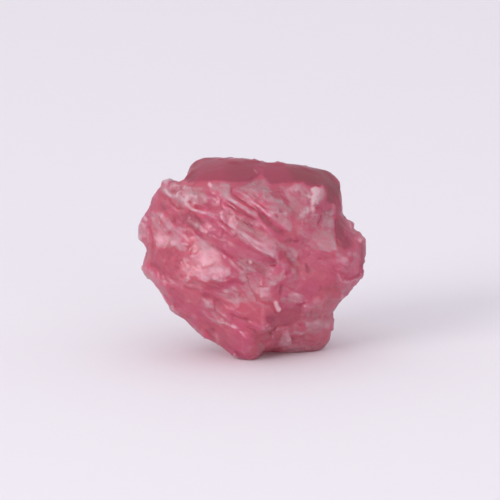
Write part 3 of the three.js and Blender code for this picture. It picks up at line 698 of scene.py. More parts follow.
class FineMesh:
    """A closed triangle mesh that can be made finer, smoothed and pushed about."""

    WELD_MM = 1e-4

    def __init__(self, points: np.ndarray, triangles: np.ndarray) -> None:
        """Keeps the mesh.

        Args:
            points: Corner places, one row each.
            triangles: Three corner numbers for each triangle.
        """
        self.points = points
        self.triangles = triangles

    @classmethod
    def welded(cls, source: bpy.types.Mesh) -> "FineMesh":
        """Copies a Blender mesh with its doubled corners made one.

        Args:
            source: The mesh to copy.

        Returns:
            The copy.
        """
        source.calc_loop_triangles()
        places = np.empty(len(source.vertices) * 3)
        source.vertices.foreach_get("co", places)
        places = places.reshape(-1, 3)
        corners = np.empty(len(source.loop_triangles) * 3, dtype=np.int32)
        source.loop_triangles.foreach_get("vertices", corners)
        keys = np.round(places / (cls.WELD_MM * MM)).astype(np.int64)
        _, first, number = np.unique(keys, axis=0, return_index=True, return_inverse=True)
        return cls(places[first], number.reshape(-1)[corners].reshape(-1, 3))

    def edges(self) -> tuple[np.ndarray, np.ndarray]:
        """Lists each edge once.

        Returns:
            The edges as pairs of corners, and for each triangle the numbers of its three edges.
        """
        sides = np.concatenate([self.triangles[:, pair] for pair in ([0, 1], [1, 2], [2, 0])])
        pairs, number = np.unique(np.sort(sides, axis=1), axis=0, return_inverse=True)
        return pairs, number.reshape(3, -1).T

    def subdivide(self) -> None:
        """Splits each triangle in four and rounds the mesh by Loop's rule."""
        pairs, triangle_edges = self.edges()
        points, corners = self.points, self.triangles
        count = len(points)
        middles = points[pairs].sum(axis=1) * (3.0 / 8.0)
        for edge, opposite in ((0, 2), (1, 0), (2, 1)):
            np.add.at(middles, triangle_edges[:, edge], points[corners[:, opposite]] / 8.0)
        valence = np.bincount(pairs.ravel(), minlength=count)
        around = np.zeros_like(points)
        np.add.at(around, pairs[:, 0], points[pairs[:, 1]])
        np.add.at(around, pairs[:, 1], points[pairs[:, 0]])
        weight = (5.0 / 8.0 - (3.0 / 8.0 + np.cos(2.0 * np.pi / valence) / 4.0) ** 2) / valence
        moved = points * (1.0 - valence * weight)[:, None] + around * weight[:, None]
        a, b, c = corners.T
        ab, bc, ca = (triangle_edges + count).T
        quarters = ((a, ab, ca), (ab, b, bc), (ca, bc, c), (ab, bc, ca))
        self.points = np.concatenate([moved, middles])
        self.triangles = np.concatenate([np.stack(quarter, axis=1) for quarter in quarters])

    def normals(self) -> np.ndarray:
        """Works out the way that the skin faces at each corner.

        Returns:
            One unit row for each corner.
        """
        a, b, c = (self.points[self.triangles[:, corner]] for corner in range(3))
        facing = np.cross(b - a, c - a)
        total = np.zeros_like(self.points)
        for corner in range(3):
            np.add.at(total, self.triangles[:, corner], facing)
        return total / np.linalg.norm(total, axis=1, keepdims=True)

    def smoothed(self, values: np.ndarray, rounds: int) -> np.ndarray:
        """Averages values with those of their neighbours.

        Args:
            values: One value or row for each corner.
            rounds: How many times to average.

        Returns:
            The averaged values.
        """
        pairs, _ = self.edges()
        valence = np.bincount(pairs.ravel(), minlength=len(self.points)).astype(float)
        flat = values.reshape(len(values), -1)
        for _ in range(rounds):
            total = np.empty_like(flat)
            for column in range(flat.shape[1]):
                near = flat[:, column]
                total[:, column] = np.bincount(pairs[:, 0], near[pairs[:, 1]], len(near))
                total[:, column] += np.bincount(pairs[:, 1], near[pairs[:, 0]], len(near))
            flat = 0.5 * flat + 0.5 * total / valence[:, None]
        return flat.reshape(values.shape)

    def to_blender(self, name: str, looks: dict[Look, np.ndarray]) -> bpy.types.Object:
        """Makes the mesh a Blender object.

        Args:
            name: The object's name.
            looks: Values for each corner, kept on the mesh under their names.

        Returns:
            The object, linked to the scene.
        """
        mesh = bpy.data.meshes.new(name)
        mesh.from_pydata(self.points.tolist(), [], self.triangles.tolist())
        for look, values in looks.items():
            layer = mesh.attributes.new(look.value, "FLOAT", "POINT")
            layer.data.foreach_set("value", values.astype(np.float32))
        mesh.shade_smooth()
        mesh.update()
        piece = bpy.data.objects.new(name, mesh)
        bpy.context.scene.collection.objects.link(piece)
        return piece


@dataclass(frozen=True)
class Plates:
    """Small flat breaks that cover the skin and meet in blunt edges, drawn out along the stone's parting.

    Attributes:
        spacing: About how far apart they are, in millimetres.
        slope: The steepest slope of a break.
        dish: How hollow a break is.
        stretch: How many times longer than wide they are.
        seed: Picks one set of them.
        wander: How far their borders bend, and the size of the bends, in millimetres.
        tone: How much their frost differs.
    """

    spacing: float
    slope: float
    dish: float
    stretch: float
    seed: int
    wander: Span
    tone: float

    NEIGHBOURS = 6
    STEP = 0.3

    def lay(self, place: np.ndarray) -> tuple[np.ndarray, np.ndarray]:
        """Lays the breaks over the skin.

        Args:
            place: Points in the face frame, one row each, in millimetres.

        Returns:
            A height in millimetres and a tone from 0 to 1 for each point, with one tone for a whole break.
        """
        dealer = np.random.default_rng(self.seed)
        level = (place + self.wander[0] * sway(place, self.wander[1])) @ PARTING_GRID
        drawn = level * np.array([1.0 / self.stretch, 1.0 / math.sqrt(self.stretch), 1.0]) / self.spacing
        count = int(SKIN_AREA_MM2 / (self.spacing**2 * self.stretch))
        seeds = drawn[dealer.choice(len(drawn), count, replace=False)]
        tree = KDTree(count)
        for number, seed in enumerate(seeds):
            tree.insert(seed, number)
        tree.balance()
        near = np.array([[found[1] for found in tree.find_n(point, self.NEIGHBOURS)] for point in drawn])
        tilts = dealer.uniform(-self.slope, self.slope, size=(count, 3))
        steps = dealer.uniform(-self.STEP, self.STEP, size=count) * self.slope
        tones = dealer.uniform(size=count)
        offset = drawn[:, None, :] - seeds[near]
        heights = steps[near] + np.einsum("ijk,ijk->ij", offset, tilts[near])
        heights += self.dish * np.einsum("ijk,ijk->ij", offset, offset)
        lowest = heights.argmin(axis=1)
        rows = np.arange(len(drawn))
        return heights[rows, lowest] * self.spacing, tones[near[rows, lowest]]


@dataclass(frozen=True)
class SideMarks:
    """The marks of one of the other sides, dealt by chance in the manner of the best face.

    Attributes:
        turn: How far the side is turned from the best face about the up axis, in degrees.
        tip: How far it is then tipped up, in degrees.
        seed: Picks one set of marks.
        reach: How far from the middle they are dealt.
        breaks: What small flat breaks do: rise, frost and whitening, partly painted highlights.
        lines: What ribs and grooves do, some with painted highlights.
        dots: What knobs and pits do, some with painted glints.
    """

    turn: float
    tip: float
    seed: int
    reach: float = 270.0
    breaks: tuple[Touch, ...] = (
        (2, 50, 5), (2.5, 35, 15), (2, 90, 5), (-1.5, -75, 0), (-2, -55, 0),
        (0, -70, 0), (1, 0, 30), (1.5, 20, 45), (-1, -40, 5), (2, 60, 0),
    )
    lines: tuple[Touch, ...] = (
        (-4, -80, 0), (-2.5, -55, 0), (-3, -60, 0), (3, 30, 30), (2, 45, 0), (3, 20, 60),
    )
    dots: tuple[Touch, ...] = ((2, 35, 20), (2, 50, 0), (-2, -60, 0), (-2, -40, 0), (2, 10, 50), (2, 10, 80))

    # How many of each there are, and the ranges of their sizes. A swing turns a mark off the parting.
    BREAK_COUNT, LINE_COUNT, DOT_COUNT = 84, 60, 54
    BREAK_CORNERS, BREAK_RAGGED, BREAK_SIZE, BREAK_SOFT = (5, 8), (0.6, 1.1), (7.0, 24.0), (3.0, 7.5)
    BREAK_STRETCH, BREAK_SWING, BREAK_TILT = 2.3, 0.3, 0.1
    LINE_POINTS, LINE_LENGTH, LINE_WANDER, LINE_SWING = 6, (25.0, 100.0), 1.8, 0.2
    LINE_WIDTH, LINE_RIGHT_WIDER = (2.8, 5.0), 1.2
    DOT_LENGTH, DOT_WIDTH, DOT_SWING = (5.0, 10.0), (2.5, 4.5), 30.0

    def axes(self) -> np.ndarray:
        """Works out the side's across, up and out axes.

        Returns:
            The axes in the face frame, one row each.
        """
        turn, tip = math.radians(self.turn), math.radians(self.tip)
        swing = Matrix.Rotation(-turn, 3, "Y")
        nod = Matrix.Rotation(tip, 3, "X")
        return np.array(nod @ swing)

    def deal(self) -> list[Mark]:
        """Deals the marks.

        Returns:
            Breaks, lines and dots, placed in the side's own frame and mostly drawn out along the parting.
        """
        dealer = np.random.default_rng(self.seed)
        across, up, out = self.axes()
        trace = np.cross(PARTING_FACES, out)
        lie = math.atan2(trace @ up, trace @ across)
        marks: list[Mark] = []
        for touch in islice(cycle(self.breaks), self.BREAK_COUNT):
            ring = np.linspace(0.0, 2.0 * math.pi, dealer.integers(*self.BREAK_CORNERS), endpoint=False)
            far = dealer.uniform(*self.BREAK_RAGGED, len(ring))
            size = dealer.uniform(*self.BREAK_SIZE)
            way = lie + dealer.normal(0.0, self.BREAK_SWING)
            along = np.cos(ring) * far * size * self.BREAK_STRETCH
            corners = self.laid(along, np.sin(ring) * far * size, way, dealer)
            tilt = tuple(dealer.uniform(-self.BREAK_TILT, self.BREAK_TILT, 2))
            marks.append(Facet(*touch, dealer.uniform(*self.BREAK_SOFT), corners, tilt))
        for touch in islice(cycle(self.lines), self.LINE_COUNT):
            along = np.linspace(-0.5, 0.5, self.LINE_POINTS) * dealer.uniform(*self.LINE_LENGTH)
            beside = np.cumsum(dealer.normal(0.0, self.LINE_WANDER, self.LINE_POINTS))
            path = self.laid(along, beside, lie + dealer.normal(0.0, self.LINE_SWING), dealer)
            width = dealer.uniform(*self.LINE_WIDTH)
            marks.append(Stroke(*touch, width, width * self.LINE_RIGHT_WIDER, path))
        for touch in islice(cycle(self.dots), self.DOT_COUNT):
            (middle,) = self.laid(np.zeros(1), np.zeros(1), 0.0, dealer)
            halves = (dealer.uniform(*self.DOT_LENGTH), dealer.uniform(*self.DOT_WIDTH))
            turn = math.degrees(lie) + dealer.normal(0.0, self.DOT_SWING)
            marks.append(Spot(*touch, (middle, halves), turn))
        return marks

    def laid(self, along: np.ndarray, beside: np.ndarray, way: float, dealer: np.random.Generator) -> Path:
        """Lays a mark's points at a chance place on the side.

        Args:
            along: How far each point is along the mark.
            beside: How far each is to its side.
            way: Which way the mark runs, in radians.
            dealer: Where the chance comes from.

        Returns:
            The points, as (across, up).
        """
        middle = dealer.uniform(-self.reach, self.reach, 2)
        across = middle[0] + along * math.cos(way) - beside * math.sin(way)
        up = middle[1] + along * math.sin(way) + beside * math.cos(way)
        return tuple(zip(across.tolist(), up.tolist()))


@dataclass
class SpinelCrystal:
    """The whole stone: its fine relief, and the values on its skin that its finish reads.

    A pair of numbers gives the two ends between which a share goes from 0 to 1.
    """

    node: str = "crystal"
    name: str = "spinel_crystal"
    splits: int = 2
    # Large breaks are on the other sides alone, and small ones all over, from wide ones to chips.
    broad_plates: Plates = Plates(1.0, 0.2, 0.1, 1.3, 4, (0.06, 0.7), 0.3)
    broad_rounds: int = 3
    fine_plates: tuple[Plates, ...] = (
        Plates(0.45, 0.17, 0.08, 1.5, 5, (0.05, 0.5), 0.22),
        Plates(0.2, 0.18, 0.09, 1.5, 6, (0.03, 0.25), 0.29),
        Plates(0.1, 0.2, 0.1, 1.3, 7, (0.0, 1.0), 0.2),
    )
    fine_share: float = 0.9
    layer_mm: float = 0.008
    layer_tone: float = 0.08
    grain_mm: float = 0.006
    grain_size_mm: float = 0.16
    # Frosty and clear patches of the other sides.
    patch_size_mm: Triple = (1.1, 0.8, 0.9)
    patch_tone: float = 0.35
    patch_calm: Span = (0.0, 0.5)
    # Tones at which small and large breaks are as frosty as the skin round them.
    middle_tone: float = 0.5
    side_tone: float = 0.4
    # The frost of plain skin, and the most frost and whitening with painted highlights that the mesh keeps.
    first_frost: float = 0.22
    most_frost: float = 1.6
    most_white_and_highlight: float = 2.0
    # How much whitening or painted highlight calms the skin under it, and how much of the fine relief calm
    # skin loses.
    white_and_highlight_calm: float = 0.7
    calm_share: float = 0.88
    # How the folds of the solid are evened out where the best face is calm.
    evening_rounds: int = 160
    evening_gain: float = 2.5
    evening_facing: Span = (0.1, 0.5)
    evening_height_mm: Span = (0.1, 0.4)
    # A corner with more than this share of a smooth break counts for its bend.
    bend_share: float = 0.5
    # Which way and how far out the skin of the best face lies, and which way that of the other sides faces.
    front_facing: Span = (-0.3, 0.2)
    front_depth_mm: Span = (-0.9, -0.3)
    away_facing: Span = (0.15, 0.4)
    side_facing: Span = (0.45, 0.85)
    # How far the marks' lines bend and the size of the bends, and the heights from which relief shows.
    mark_sways_mm: tuple[Span, ...] = ((0.02, 0.45), (0.012, 0.13))
    resting_mm: Span = (0.0, 0.12)
    # Rounds of averaging that find narrow and wide edges, and how much each finds.
    bulges: tuple[tuple[int, float], ...] = ((3, 26.0), (14, 9.0))
    sides: tuple[SideMarks, ...] = (
        SideMarks(75.0, 0.0, 31),
        SideMarks(140.0, 0.0, 32),
        SideMarks(-75.0, 0.0, 33),
        SideMarks(-140.0, 0.0, 34),
        SideMarks(0.0, 75.0, 35),
        SideMarks(180.0, -50.0, 36),
    )

    def build(self, frame: dict) -> bpy.types.Object:
        """Refines the CAD solid and gives it the fine relief.

        Args:
            frame: What the frame's load gave.

        Returns:
            The piece, not yet dressed.
        """
        skin = FineMesh.welded(frame["nodes"][self.node].data)
        lowest, highest = (np.array(corner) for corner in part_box(self.node))
        for _ in range(self.splits):
            skin.subdivide()
        looks = self.sculpt(skin)
        skin.points = np.clip(skin.points, lowest, highest)
        piece = skin.to_blender(self.name, looks)
        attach(piece, "root")
        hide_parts(self.node)
        return piece

    def dress(self, piece: bpy.types.Object, finish: bpy.types.Material) -> None:
        """Gives the piece its finish."""
        piece.data.materials.append(finish)

    def sculpt(self, skin: FineMesh) -> dict[Look, np.ndarray]:
        """Evens the smooth breaks, pushes the skin out and in, and says how it looks.

        Args:
            skin: The refined mesh, moved in place.

        Returns:
            The values for each corner.
        """
        other = 1.0 - self.front(skin)
        calm = self.marked(skin)[3]
        self.even_out(skin, calm)
        place = self.place(skin)
        patch = PATCHES.octaves(place / np.array(self.patch_size_mm))
        calm = np.clip(calm + other * smoothstep(*self.patch_calm, -patch), 0.0, 1.0)
        lively = 1.0 - self.calm_share * calm

        broad, broad_tone = self.broad_plates.lay(place)
        layers = streaks(place)
        relief = self.layer_mm * layers + self.grain_mm * GRAINS.octaves(place / self.grain_size_mm)
        tone = self.layer_tone * layers
        for plates in self.fine_plates:
            height, plate_tone = plates.lay(place)
            relief += self.fine_share * height
            tone += plates.tone * (plate_tone - self.middle_tone)
        self.push(skin, lively * relief + other * skin.smoothed(broad, self.broad_rounds))

        relief, frost, white_and_highlight, _ = self.marked(skin)
        self.push(skin, relief)
        side_frost = self.patch_tone * patch + self.broad_plates.tone * (broad_tone - self.side_tone)
        frost += self.first_frost + lively * tone + other * side_frost
        bulge = self.curvature(skin)
        return {
            Look.FROST: np.clip(frost, 0.0, self.most_frost),
            Look.DEEP: np.clip(-frost, 0.0, self.most_frost),
            Look.WHITE_AND_HIGHLIGHT: np.clip(white_and_highlight, 0.0, self.most_white_and_highlight),
            Look.CREST: np.clip(bulge, 0.0, 1.0),
            Look.HOLLOW: np.clip(-bulge, 0.0, 1.0),
            Look.LIVELY: lively,
        }

    def place(self, skin: FineMesh) -> np.ndarray:
        """Gives each corner's place in the face frame, in millimetres."""
        return (skin.points / MM - np.array(FACE_MIDDLE_MM)) @ FACE_AXES.T

    def front(self, skin: FineMesh) -> np.ndarray:
        """Says how much each corner belongs to the best face, from 0 to 1."""
        facing, out = skin.normals() @ FACE_AXES[2], self.place(skin)[:, 2]
        return smoothstep(*self.front_facing, facing) * smoothstep(*self.front_depth_mm, out)

    def even_out(self, skin: FineMesh, calm: np.ndarray) -> None:
        """Evens out the folds of the solid where the best face is calm, and bends its smooth breaks.

        Args:
            skin: The mesh, moved in place.
            calm: How calm each corner is, from 0 to 1.
        """
        share = np.clip(self.evening_gain * calm, 0.0, 1.0)
        share *= smoothstep(*self.evening_facing, skin.normals() @ FACE_AXES[2])
        share *= smoothstep(*self.evening_height_mm, skin.points[:, 2] / MM)
        skin.points += share[:, None] * (skin.smoothed(skin.points, self.evening_rounds) - skin.points)
        for smooth_break in SMOOTH_BREAKS:
            self.bend(skin, smooth_break)

    def bend(self, skin: FineMesh, smooth_break: Facet) -> None:
        """Makes the skin one even bend where a smooth break lies on the best face.

        Args:
            skin: The mesh, moved in place.
            smooth_break: Where it lies.
        """
        place = self.place(skin)
        across, up, out = place.T
        share = smooth_break.profile(place[:, :2] / HUNDREDTH) * self.front(skin)
        terms = np.stack([np.ones_like(across), across, up, across**2, across * up, up**2], axis=1)
        inside = share > self.bend_share
        fit, *_ = np.linalg.lstsq(terms[inside], out[inside], rcond=None)
        skin.points += (share * (terms @ fit - out))[:, None] * FACE_AXES[2] * MM

    def marked(self, skin: FineMesh) -> np.ndarray:
        """Adds up the marks of all sides.

        Args:
            skin: The mesh as it stands.

        Returns:
            Four rows, with one value for each corner: its relief in millimetres, its frost, its whitening
            with painted highlights, and how calm.
        """
        place = self.place(skin)
        place += sum(far * sway(place, size) for far, size in self.mark_sways_mm)
        facing = skin.normals() @ FACE_AXES.T
        away = 1.0 - smoothstep(*self.away_facing, facing[:, 2])
        views = [((*STROKES, *SPOTS, *FACETS), np.eye(3), self.front(skin))]
        for side in self.sides:
            axes = side.axes()
            views.append((side.deal(), axes, smoothstep(*self.side_facing, facing @ axes[2]) * away))
        total = np.zeros((4, len(place)))
        for marks, axes, share in views:
            near = np.flatnonzero(share)
            seen = place[near] @ axes[:2].T / HUNDREDTH
            part = total[:, near]
            for mark in marks:
                here = mark.profile(seen) * share[near] * HUNDREDTH
                part[0] += mark.lift(seen) * here
                part[1] += mark.frost * here
                part[2] += mark.white_and_highlight * here
                part[3] = np.maximum(part[3], (self.white_and_highlight_calm * mark.white_and_highlight - mark.frost) * here)
            total[:, near] = part
        total[1:] = skin.smoothed(total[1:].T, 1).T
        return total

    def push(self, skin: FineMesh, relief: np.ndarray) -> None:
        """Moves the skin out by a height, less and less towards the flat that it rests on.

        Args:
            skin: The mesh, moved in place.
            relief: The height at each corner, in millimetres.
        """
        resting = smoothstep(*self.resting_mm, skin.points[:, 2] / MM)
        skin.points += skin.normals() * (relief * resting)[:, None] * MM
        skin.points[:, 2] = np.maximum(skin.points[:, 2], 0.0)

    def curvature(self, skin: FineMesh) -> np.ndarray:
        """Finds the skin's edges and creases.

        Args:
            skin: The finished mesh.

        Returns:
            Above 0 along an edge and below 0 in a crease, for each corner.
        """
        normals = skin.normals()
        bulge = np.zeros(len(skin.points))
        for rounds, gain in self.bulges:
            mean = skin.smoothed(skin.points, rounds)
            bulge += gain * np.einsum("ij,ij->i", skin.points - mean, normals) / MM
        return bulge


class Wiring:
    """Adds nodes to a shader's tree and joins them up."""

    def __init__(self, tree: bpy.types.NodeTree) -> None:
        """Keeps the tree.

        Args:
            tree: The tree to add to.
        """
        self.nodes = tree.nodes
        self.links = tree.links

    def feed(self, node: bpy.types.Node, inputs: dict[str | int, Feed]) -> None:
        """Gives a node's inputs numbers, vectors, colours or other nodes' outputs.

        Args:
            node: The node.
            inputs: What each input gets, by its name or number.
        """
        for name, value in inputs.items():
            socket = node.inputs[name]
            if isinstance(value, bpy.types.NodeSocket):
                self.links.new(value, socket)
            elif isinstance(value, tuple) and len(socket.default_value) == 4:
                socket.default_value = (*value, 1.0)
            else:
                socket.default_value = value

    def add(self, kind: str, inputs: dict[str | int, Feed], **settings: str) -> bpy.types.Node:
        """Adds a node.

        Args:
            kind: Its type.
            inputs: What its inputs get.
            settings: Its own settings.

        Returns:
            The node.
        """
        node = self.nodes.new(kind)
        for name, setting in settings.items():
            setattr(node, name, setting)
        self.feed(node, inputs)
        return node

    def read(self, look: Look) -> bpy.types.NodeSocket:
        """Reads one of the values that the mesh keeps."""
        return self.add("ShaderNodeAttribute", {}, attribute_name=look.value).outputs["Fac"]

    def maths(self, operation: str, *values: Feed) -> bpy.types.NodeSocket:
        """Works out one sum of numbers, from its inputs in order."""
        return self.add("ShaderNodeMath", dict(enumerate(values)), operation=operation).outputs["Value"]

    def vector(self, operation: str, *values: Feed) -> bpy.types.NodeSocket:
        """Works out one sum of vectors, from its inputs in order."""
        node = self.add("ShaderNodeVectorMath", dict(enumerate(values)), operation=operation)
        return node.outputs["Vector"]

    def along(self, first: Feed, second: Feed) -> bpy.types.NodeSocket:
        """Works out how far one vector goes along another."""
        node = self.add("ShaderNodeVectorMath", {0: first, 1: second}, operation="DOT_PRODUCT")
        return node.outputs["Value"]

    def eased(self, value: Feed, span: Span, to: Span = (0.0, 1.0)) -> bpy.types.NodeSocket:
        """Eases a value from one range to another.

        Args:
            value: The value.
            span: The values that give the two ends.
            to: The two ends.

        Returns:
            The eased value.
        """
        inputs = {"Value": value, "From Min": span[0], "From Max": span[1], "To Min": to[0], "To Max": to[1]}
        return self.add("ShaderNodeMapRange", inputs, interpolation_type="SMOOTHSTEP").outputs["Result"]

    def mixed(self, share: Feed, first: Feed, second: Feed) -> bpy.types.NodeSocket:
        """Mixes two colours.

        Args:
            share: 0 for the first, 1 for the second.
            first: The first colour.
            second: The second colour.

        Returns:
            The mixed colour.
        """
        # The node's inputs and outputs for colours have the same names as its others, so they go by number.
        first_colour, second_colour, mixed_colour = 6, 7, 2
        inputs = {"Factor": share, first_colour: first, second_colour: second}
        return self.add("ShaderNodeMix", inputs, data_type="RGBA").outputs[mixed_colour]

    def noise(self, place: Feed, scale: float, detail: float, roughness: float = 0.5) -> bpy.types.Node:
        """Reads smooth noise.

        Args:
            place: Where to read it.
            scale: Its lumps in each unit of the place.
            detail: How many finer runs it adds.
            roughness: How strong the finer runs are.

        Returns:
            The node, with the noise as a number under Fac and as three under Color, mostly 0.3 to 0.7.
        """
        inputs = {"Vector": place, "Scale": scale, "Detail": detail, "Roughness": roughness}
        return self.add("ShaderNodeTexNoise", inputs)

    def cells(self, place: Feed, scale: float) -> tuple[bpy.types.NodeSocket, bpy.types.NodeSocket]:
        """Splits the skin into crisp grains.

        Args:
            place: Where to read them.
            scale: Grains in each unit of the place.

        Returns:
            A tone from 0 to 1, the same all over a grain, and a height that slants its own way on each grain.
        """
        grain = self.add("ShaderNodeTexVoronoi", {"Vector": place, "Scale": scale}).outputs
        tone = self.add("ShaderNodeSeparateColor", {"Color": grain["Color"]}).outputs["Red"]
        offset = self.vector("SUBTRACT", place, grain["Position"])
        lean = self.vector("SUBTRACT", grain["Color"], (0.5, 0.5, 0.5))
        return tone, self.along(offset, lean)


@dataclass(frozen=True)
class MineralGrain:
    """The stone's fine grain: streaks along its parting, crisp grains, and slow drifts of colour.

    Attributes:
        streak_mm: Size of a streak along the parting, into the stone and across the parting.
        streak_rough: How strong the finer streaks are.
        grain_mm: Size of a grain along, into and across the parting.
        finer: How many times finer the specks are than the grains.
        bend_mm: Size of the bends in the grains' borders.
        sway_mm: How far the bends go, for each unit of noise.
        drift_mm: Size of the slow drifts of colour.
        grain_step: How much a grain's height follows its tone.
        speck_slant: How much the specks slant beside the grains.
    """

    streak_mm: Triple = (0.5, 0.35, 0.055)
    streak_rough: float = 0.6
    grain_mm: Triple = (0.2, 0.15, 0.1)
    finer: float = 2.1
    bend_mm: float = 0.3
    sway_mm: float = 0.08
    drift_mm: float = 1.1
    grain_step: float = 0.3
    speck_slant: float = 0.7

    def make(self) -> bpy.types.ShaderNodeTree:
        """Builds the grain as a node group.

        Returns:
            The group: Streak, Grain, Speck and Drift from 0 to 1, and Height, a share of a grain's size.
        """
        tree = bpy.data.node_groups.new("mineral_grain", "ShaderNodeTree")
        for name in ("Streak", "Grain", "Speck", "Drift", "Height"):
            tree.interface.new_socket(name, in_out="OUTPUT", socket_type="NodeSocketFloat")
        wiring = Wiring(tree)
        place = wiring.add("ShaderNodeTexCoord", {}).outputs["Object"]
        bends = wiring.noise(place, 1.0 / (self.bend_mm * MM), 1.0).outputs["Color"]
        shift = wiring.add("ShaderNodeVectorMath", {0: bends, "Scale": self.sway_mm * MM}, operation="SCALE")
        place = wiring.vector("ADD", place, shift.outputs["Vector"])
        streaks_at = self.stretched(wiring, place, self.streak_mm)
        grains_at = self.stretched(wiring, place, self.grain_mm)
        tone, slant = wiring.cells(grains_at, 1.0)
        fine_tone, fine_slant = wiring.cells(grains_at, self.finer)
        height = wiring.maths("MULTIPLY_ADD", tone, self.grain_step, slant)
        results = {
            "Streak": wiring.noise(streaks_at, 1.0, 2.0, self.streak_rough).outputs["Fac"],
            "Grain": tone,
            "Speck": fine_tone,
            "Drift": wiring.noise(place, 1.0 / (self.drift_mm * MM), 2.0).outputs["Fac"],
            "Height": wiring.maths("MULTIPLY_ADD", fine_slant, self.speck_slant, height),
        }
        wiring.add("NodeGroupOutput", results)
        return tree

    def stretched(self, wiring: Wiring, place: Feed, size_mm: Triple) -> bpy.types.NodeSocket:
        """Measures a place along the parting, into the stone and across the parting.

        Args:
            wiring: Where the nodes go.
            place: The place.
            size_mm: What counts as 1 in each direction.

        Returns:
            The three measures as a vector.
        """
        ways = (PARTING_GRID.T @ FACE_AXES) / MM
        parts = (wiring.along(place, tuple(way / size)) for way, size in zip(ways, size_mm))
        return wiring.add("ShaderNodeCombineXYZ", dict(enumerate(parts))).outputs["Vector"]


